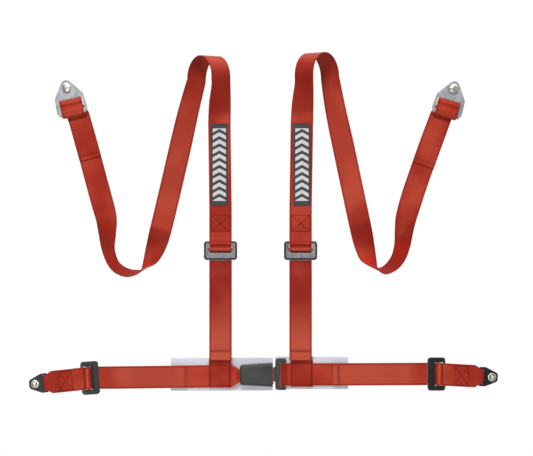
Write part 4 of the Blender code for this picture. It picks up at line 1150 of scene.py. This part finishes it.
def end_loop(side, local, bars, bar_w, mats):
    """The short loop from the adjuster to the anchor plate, sewn through with a boxed cross. It lies square to
    the adjuster's bar there, and swings to its own line within a few centimetres."""
    clear, lay, open_v = ADJ_THICK / 2 + BAR_CLEAR, PITCH / 2, 0.0035
    turn_in = bars["outer"] - BAR_CLEAR - 0.0004
    turn_out = BAR_U + 0.0037 + BAR_CLEAR + 0.0004
    front = -clear - 0.0008
    points = [(0.0725, -lay - PITCH), (0.0360, -lay - PITCH), (bars["end"] + 0.0030, front), (turn_in, front)]
    points += [(turn_in, clear), (bars["end"] + 0.0040, clear), (0.0360, lay), (BAR_U - 0.0140, lay)]
    points += [(BAR_U - 0.0050, open_v), (turn_out, open_v), (turn_out, -open_v), (BAR_U - 0.0050, -open_v)]
    points += [(BAR_U - 0.0140, -lay), (0.0400, -lay)]
    radii = [0.01, 0.006, 0.0038, 0.0018, 0.004, 0.01, 0.008, 0.006, 0.0030, 0.0030, 0.006, 0.008]
    width = taper(WEB, 0.0165, BAR_U - 0.0130, BAR_U + 0.0010)
    square = skewed(local, bar_w)
    stations = []
    for u, v in rounded_path(points, radii, 7):
        share = clamp((u - bars["end"]) / 0.0150)
        stations.append((local.point(u, v), square.lerp(local.w * WEB, share) * (width(u) / WEB)))
    obj = strap(f"{side}_lap_end_webbing", stations, mats["webbing"])
    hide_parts(f"{side}_lap_end_loop")
    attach(obj, f"{side}_lap_adjuster")
    face = -lay - PITCH - THICK / 2
    sewn = seam(f"{side}_lap_box_stitch", local, box_lines(0.0400, 0.0695, 0.0205), face, mats["thread"])
    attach(sewn, f"{side}_lap_adjuster")


def end_plate(side, belt, local, loops, finish):
    obj = soft_plate(f"{side}_{belt}_end_plate", local, loops, PLATE_FACE, finish, 0.0006)
    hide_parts(f"{side}_{belt}_anchor_plate")
    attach(obj, f"{side}_{belt}_anchor")


def lap_anchor(side, local, mats):
    bolt_u, shoulder_u, tip = BAR_U + 0.0250, BAR_U + 0.0110, BAR_U + 0.0385
    corners = [(BAR_U - 0.0037, -0.0215, 0.0030), (shoulder_u, -0.0215, 0.0100), (tip, -0.0090, 0.0088)]
    slot = box_outline(BAR_U + 0.0037, BAR_U + 0.0063, -0.0168, 0.0168, 0.0004, 4)
    hole = box_outline(bolt_u - HOLE, bolt_u + HOLE, -HOLE, HOLE, 0.0060, 10)
    loops = [rounded_outline(mirrored(corners), 8), slot, hole]
    end_plate(side, "lap", local, loops, mats["black_steel"])
    bolt_set(side, "lap", local.point(bolt_u, 0), FRONT, mats, COLLAR, "collar", 0.0205)


def lap_side(side, spec, mats):
    out = direction(spec["sign"], spec["lap_slope"])
    lap = Local(spec["lap_bar"], out)
    bars = adjuster_bars(0.0080)
    centre = lap.point(spec["lap_adjuster"], -PITCH / 2 - FRAME_SET)
    adj = Local(centre, direction(spec["sign"], spec["adjuster_slope"]))
    end = Local(centre, direction(spec["sign"], spec["end_slope"]))
    reach = spec["lap_adjuster"] + bars["inner"]
    body = f"{side}_lap_adjuster"
    lap_strap(side, spec, lap, reach - 0.0004, adj.w, mats)
    adjuster(f"{side}_lap_slide", adj, bars, [mats["black_steel"], mats["black_steel"]], body)
    strap_turn(f"{side}_lap_turn", adj, bars, 0.0004, mats["webbing_turn"], body, f"{side}_lap_strap_turn")
    shape = (reach - spec["lap_hem"], 0.0025, spec["lap_flap"])
    strap_tail(side, "lap", Local(centre, out), bars, adj.w, shape, mats)
    end_loop(side, end, bars, adj.w, mats)
    lap_anchor(side, end, mats)


def pad(name, points, top_and_bottom, mats, bodies, join, nodes):
    """A thin padded sheet with a bound edge, hanging behind the webbing."""
    high, low = top_and_bottom
    half = Vector((0, 0, (high - low) / 2))
    stations = [(Vector((x, y, (low + high) / 2)), half) for x, y in points]
    stations = relax(densify(stations, 0.004), 3)
    obj = strap(name, stations, mats["pad"], ripple=0.00025, section=PAD_SECTION)
    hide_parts(*nodes)
    bend(obj, *bodies, *(Vector((x, 0, 0)) for x in join))


def pads(mats):
    left_end, *left_edges = SIDES["left"]["pad"]
    right_end, *right_edges = SIDES["right"]["pad"]
    near = BAR_Y + 0.0030
    left = [(0.0367, 0.0128), (-0.0440, 0.0126), (-0.0620, near + 0.0010), (-0.0900, near), (-left_end, near)]
    right = [(0.0416, 0.0085), (0.0740, 0.0080), (0.1000, 0.0036), (right_end, 0.0036)]
    bodies, nodes = ("buckle", "left_lap"), ("left_pad", "left_pad_behind_buckle")
    pad("left_pad_cloth", left, left_edges, mats, bodies, (-0.0360, -0.0600), nodes)
    bodies, nodes = ("tongue", "right_lap"), ("right_pad", "right_pad_behind_tongue")
    pad("right_pad_cloth", right, right_edges, mats, bodies, (0.0450, 0.0700), nodes)


# ---------------------------------------------------------------- shoulder belt


def side_vector(sign, degrees):
    a = math.radians(degrees)
    return Vector((-sign * math.cos(a), -math.sin(a), 0)) * WEB


def arch_plan(spec):
    """The arch's travel outwards and back, and how far it turns the webbing."""
    travel = Vector((spec["arch"][1] - spec["arch"][0], ARCH_DEPTH))
    return travel, -math.degrees(math.atan2(travel[0], travel[1]))


def arch_stations(sign, spec, front_y, steps=26):
    """The half circle where the strap turns over backwards, without its two ends."""
    front_o, _, z = spec["arch"]
    travel, turned_by = arch_plan(spec)
    stations = []
    for i in range(1, steps):
        a = math.pi * i / steps
        o, y = Vector((front_o, front_y)) + travel * ((1 - math.cos(a)) / 2)
        at = Vector((sign * o, y, z + travel.length / 2 * math.sin(a)))
        stations.append((at, side_vector(sign, turned_by)))
    return stations


def fall_stations(sign, keys):
    """The hanging loop, which turns its back to the front as it comes up again."""
    stations = []
    for (o, y, z, roll, lean), slope in catmull(keys):
        along = Vector((slope[0], slope[2])).normalized()
        across = Vector((along[1], -along[0]))
        flat = across * math.cos(math.radians(roll)) + along * lean
        side = Vector((sign * flat[0], -math.sin(math.radians(roll)), flat[1])).normalized() * WEB
        stations.append((Vector((sign * o, y, z)), side))
    return stations


def anchor_local(spec):
    a = math.radians(spec["anchor_turn"])
    o, y, z = spec["anchor"]
    return Local((spec["sign"] * o, y, z), (spec["sign"] * math.sin(a), 0, math.cos(a)))


def front_run(sign, spec, local, bars, front_y):
    """From the seam's end, round the adjuster's top bar and up to where the strap starts to turn."""
    clear, lay = ADJ_THICK / 2 + BAR_CLEAR, PITCH / 2
    top = bars["end"]
    turn = bars["outer"] - BAR_CLEAR - 0.0030
    front = -clear - 0.0012
    points = [(SEWN_TOP_Z - local.origin.z, lay), (top + 0.0200, lay), (top + 0.0050, clear), (turn, clear)]
    points += [(turn, front), (top + 0.0030, front), (top + 0.0200, -lay)]
    points.append((LABEL_Z[0] - local.origin.z - 0.006, -lay))
    path = rounded_path(points, [0.01, 0.005, 0.0018, 0.0044, 0.008, 0.012], 9)
    stations = in_local(local, path, sign * WEB)
    front_o, _, arch_z = spec["arch"]
    label_o = spec["label_o"]
    turned_by = arch_plan(spec)[1]
    keys = [
        (label_o, LABEL_Z[1], 0.0),
        (label_o + (front_o - label_o) * 0.35, 0.6050, turned_by * 0.45),
        (front_o, arch_z - 0.022, turned_by * 0.96),
        (front_o, arch_z, turned_by),
    ]
    stations.append((Vector((sign * label_o, front_y, LABEL_Z[1])), side_vector(sign, 0)))
    for (o, z, degrees), _ in catmull(keys):
        stations.append((Vector((sign * o, front_y, z)), side_vector(sign, degrees)))
    return stations


def anchor_loop(sign, local):
    """Up behind the plate's bar, through the slot, down the front and back under, moving inboard there."""
    points = [(-0.0420, 0.0058), (-0.0261, 0.0058), (-0.0261, -0.0080), (-0.0345, -0.0103)]
    points += [(-0.0412, -0.0058), (-0.0500, -0.0124), (-0.0655, -0.0108), (-0.0652, 0.0040), (-0.0707, 0.0040)]
    stations = []
    for u, v in rounded_path(points, [0.0062, 0.0048, 0.0040, 0.0030, 0.0050, 0.0050, 0.0025], 9):
        share = max(0.0, (v + 0.0080) / 0.0120) if u < -0.0555 else 0.0
        stations.append((local.point(u, v, sign * (0.0011 + 0.0087 * share)), local.w * (sign * WEB)))
    return stations


def anchor_run(sign, spec):
    """Round the plate's bar and back down the front to a doubled hem."""
    meet = Vector(spec["meet"])
    hem_o, hem_z = spec["hem_at"]
    top = meet + (Vector(spec["fall"][-1][:3]) - meet).normalized() * 0.0190
    top = Vector((sign * top.x, meet.y - PITCH, top.z))
    low = Vector((sign * hem_o, top.y, hem_z))
    along = (top - low).normalized()
    edge = Vector((-along.z, 0, along.x)) * (sign * WEB)
    stations = anchor_loop(sign, anchor_local(spec))
    stations += [(top.lerp(low, share), edge) for share in (0.0, 0.35, 0.7, 1.0)]
    hem = half_circle((0, -PITCH / 2), PITCH / 2, 90, -180, 10)[1:] + [(-REAR_HEM, -PITCH)]
    stations += [(low - along * back + Vector((0, y, 0)), edge) for back, y in hem]
    return stations, low, along, edge


def long_strap(side, spec, local, bars, front_y, mats):
    """The one length of webbing from the adjuster over the shoulder, round the hanging loop, to the plate."""
    sign = spec["sign"]
    travel, turned_by = arch_plan(spec)
    front_o, rear_o, arch_z = spec["arch"]
    keys = [(rear_o, front_y + ARCH_DEPTH, arch_z, turned_by, 0)] + spec["fall"] + [(*spec["meet"], 180, 0)]
    ending, low, along, edge = anchor_run(sign, spec)
    stations = front_run(sign, spec, local, bars, front_y) + arch_stations(sign, spec, front_y)
    stations += fall_stations(sign, keys) + ending
    # Bands of painted shade, a painted highlight and painted light from below lie along this strap.
    obj = strap(f"{side}_shoulder_webbing", stations, mats["webbing_long"], ripple=0.00012)
    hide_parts(f"{side}_upper_strap", f"{side}_rear_strap")
    way = Vector((sign * travel[0], travel[1], 0)).normalized()
    base = Vector((sign * front_o, front_y, arch_z))
    rear = f"{side}_shoulder_rear"
    bend(obj, f"{side}_shoulder_adjuster", rear, base + way * 0.020, base + way * 0.096)
    inset = edge.normalized() * 0.0215
    line = low + Vector(FRONT) * (THICK / 2 + PITCH) + along * 0.0080
    bm = bmesh.new()
    sew_line(bm, [line - inset, line + inset], Vector(FRONT))
    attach(new_object(f"{side}_rear_stitch", bm, mats["thread"]), rear)


def patch_and_fold(side, spec, strap_y, mats):
    """The sewn patch over the lap belt and the start of the shoulder strap above it."""
    o, low, high = spec["patch"]
    x, patch_x = spec["sign"] * spec["strap_o"], spec["sign"] * o
    places = [(patch_x, low), (patch_x, high), (x, FOLD_Z + 0.002), (x, SHOULDER_FOOT_Z)]
    stations = [(Vector((at, strap_y, z)), Vector((WEB, 0, 0))) for at, z in places]
    # The patch wears the painted-shade red.
    obj = strap(f"{side}_shoulder_patch_webbing", stations, mats["webbing_patch"], ripple=0.00008)
    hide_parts(f"{side}_shoulder_patch")
    ends = [Vector((x, strap_y, z)) for z in (0.0360, 0.0480)]
    bend(obj, f"{side}_lap", f"{side}_shoulder", *ends)
    local = Local((patch_x, strap_y, 0), UP)
    lines = box_lines(low + 0.004, high - 0.003, 0.0212, False)
    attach(seam(f"{side}_patch_stitch", local, lines, -THICK / 2, mats["thread"]), f"{side}_lap")


def shoulder_side(side, spec, mats):
    bars = adjuster_bars(0.0100)
    strap_y = spec["lap_bar"][1] - PITCH / 2 - PITCH
    x = spec["sign"] * spec["strap_o"]
    up = Local((x, strap_y, 0), UP)
    centre = Vector((x, strap_y - FRAME_SET, SHOULDER_ADJ_Z))
    adj = Local(centre, UP)
    front_y = centre.y - PITCH / 2
    body = f"{side}_shoulder_adjuster"
    patch_and_fold(side, spec, strap_y, mats)
    reach = SHOULDER_ADJ_Z + bars["inner"]
    stations = in_local(up, [(SHOULDER_FOOT_Z, 0), (reach - 0.0006, 0)], WEB)
    fixed = strap(f"{side}_fixed_webbing", stations, mats["webbing"])
    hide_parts(f"{side}_shoulder_strap")
    bend(fixed, f"{side}_shoulder", body, up.point(0.0700, 0), up.point(reach - 0.0086, 0))
    adjuster(f"{side}_shoulder_slide", adj, bars, [mats["black_steel"], mats["satin_grey_steel"]], body)
    turn_node = f"{side}_shoulder_strap_turn"
    strap_turn(f"{side}_shoulder_turn", adj, bars, 0.0030, mats["webbing_turn"], body, turn_node)
    strap_tail(side, "shoulder", adj, bars, adj.w, (reach - SHOULDER_HEM_Z, 0.0062, SHOULDER_FLAP), mats)
    long_strap(side, spec, adj, bars, front_y, mats)
    face = -PITCH / 2 - THICK / 2
    lines = box_lines(0.0430, 0.0790, 0.0210)
    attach(seam(f"{side}_shoulder_box_stitch", adj, lines, face, mats["thread"]), body)
    label(side, spec, front_y, mats, body)
    shoulder_anchor(side, spec, mats)


def label(side, spec, front_y, mats, body):
    local = Local((spec["sign"] * spec["label_o"], front_y - THICK / 2 - 0.0007, 0), UP)
    stations = [(local.point(z, 0), Vector((0.0190, 0, 0))) for z in LABEL_Z]
    outline = [(-1.0, 0.0), (-0.985, 0.7), (-0.9, 1.0), (0.0, 1.0), (0.9, 1.0), (0.985, 0.7), (1.0, 0.0)]
    outline += [(0.9, -1.0), (-0.9, -1.0)]
    section = [(a, h * 0.0004) for a, h in outline]
    obj = strap(f"{side}_woven_label", stations, mats["label"], section=section)
    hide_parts(f"{side}_label")
    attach(obj, body)
    lines = box_lines(LABEL_Z[0] + 0.0022, LABEL_Z[1] - 0.0022, 0.0174, False)
    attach(seam(f"{side}_label_stitch", local, lines, -0.0004, mats["dark_thread"]), body)


def shoulder_anchor(side, spec, mats):
    local = anchor_local(spec)
    flank = [(-0.0180, 0.0325, 0.0080), (-0.0520, 0.0350, 0.0060), (-0.0620, 0.0290, 0.0040)]
    outline = rounded_outline([(0.0285, 0.0, 0.0125)] + mirrored(flank), 8)
    reach = sorted((-spec["sign"] * 0.0243, spec["sign"] * 0.0282))
    slot = box_outline(-0.0500, -0.0250, *reach, 0.0010, 4)
    hole = box_outline(-HOLE, 0.0140, -HOLE, HOLE, 0.0060, 10)
    end_plate(side, "shoulder", local, [outline, slot, hole], mats["zinc_plate"])
    bolt_set(side, "shoulder", local.origin, BACK, mats, WASHER, "washer", 0.0228)


# ---------------------------------------------------------------- studio

FLOOR_RADIUS, FLOOR_DROP = 0.95, 0.30
# (name, place, size, power, colour)
LIGHTS = (
    ("key", (-0.45, -3.1, 2.5), 0.9, 98.0, (1.0, 0.985, 0.96)),
    ("fill", (2.4, -2.4, 0.4), 2.0, 8.0, (0.97, 0.98, 1.0)),
    ("low", (-0.3, -2.6, -0.45), 0.8, 9.0, (1.0, 0.99, 0.97)),
    ("top", (0.2, 0.3, 2.2), 1.4, 24.0, (1.0, 1.0, 1.0)),
    ("back", (-0.8, 2.4, 1.2), 1.6, 16.0, (1.0, 1.0, 1.0)),
)


def link(name, data):
    obj = bpy.data.objects.new(name, data)
    bpy.context.scene.collection.objects.link(obj)
    return obj


def floor():
    """A pale matt sheet that fades out towards its rim."""
    bm = bmesh.new()
    bmesh.ops.create_circle(bm, cap_ends=True, segments=96, radius=FLOOR_RADIUS)
    mesh = bpy.data.meshes.new("floor")
    bm.to_mesh(mesh)
    bm.free()
    g = Graph("pale_floor")
    x, y, _ = g.parts("Object")
    reach = g.math("SQRT", g.times(x, x, g.times(y, y)))
    fade = g.step(reach, FLOOR_RADIUS * 0.45, FLOOR_RADIUS, 1.0, 0.0)
    mesh.materials.append(g.set(Base_Color=(0.90, 0.90, 0.90), Roughness=0.9, Alpha=fade))
    sheet = link("floor", mesh)
    sheet.location = (0.0, 0.0, BUCKLE_AT.z - FLOOR_DROP)


def lights():
    for name, at, size, power, colour in LIGHTS:
        data = bpy.data.lights.new(name, "AREA")
        data.size = size
        data.energy = power
        data.color = colour
        obj = link(name, data)
        obj.location = at
        obj.rotation_euler = (-Vector(at)).to_track_quat("-Z", "Y").to_euler()


def backdrop():
    """White to the camera, and a dim cool light on everything else."""
    world = bpy.context.scene.world or bpy.data.worlds.new("studio")
    bpy.context.scene.world = world
    world.use_nodes = True
    tree = world.node_tree
    tree.nodes.clear()
    out = tree.nodes.new("ShaderNodeOutputWorld")
    mix = tree.nodes.new("ShaderNodeMixShader")
    path = tree.nodes.new("ShaderNodeLightPath")
    tree.links.new(path.outputs["Is Camera Ray"], mix.inputs[0])
    for number, colour, strength in ((1, (0.93, 0.95, 1.0, 1.0), 0.24), (2, (1.0, 1.0, 1.0, 1.0), 1.0)):
        made = tree.nodes.new("ShaderNodeBackground")
        made.inputs["Color"].default_value = colour
        made.inputs["Strength"].default_value = strength
        tree.links.new(made.outputs[0], mix.inputs[number])
    tree.links.new(mix.outputs[0], out.inputs[0])


def camera():
    data = bpy.data.cameras.new("camera")
    data.sensor_width = 36.0
    data.lens = 120.0
    data.clip_end = 50.0
    obj = link("camera", data)
    obj.location = (0.0071, -4.0, -0.0113)
    obj.rotation_euler = (math.radians(90), 0, 0)
    bpy.context.scene.camera = obj


mats = make_materials()
buckle(mats)
button(mats)
tongue(mats)
refinish(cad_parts, mats)
for side_name, side_spec in SIDES.items():
    lap_side(side_name, side_spec, mats)
    shoulder_side(side_name, side_spec, mats)
pads(mats)
floor()
lights()
backdrop()
camera()
bpy.context.scene.view_settings.view_transform = "Standard"
bpy.context.view_layer.update()
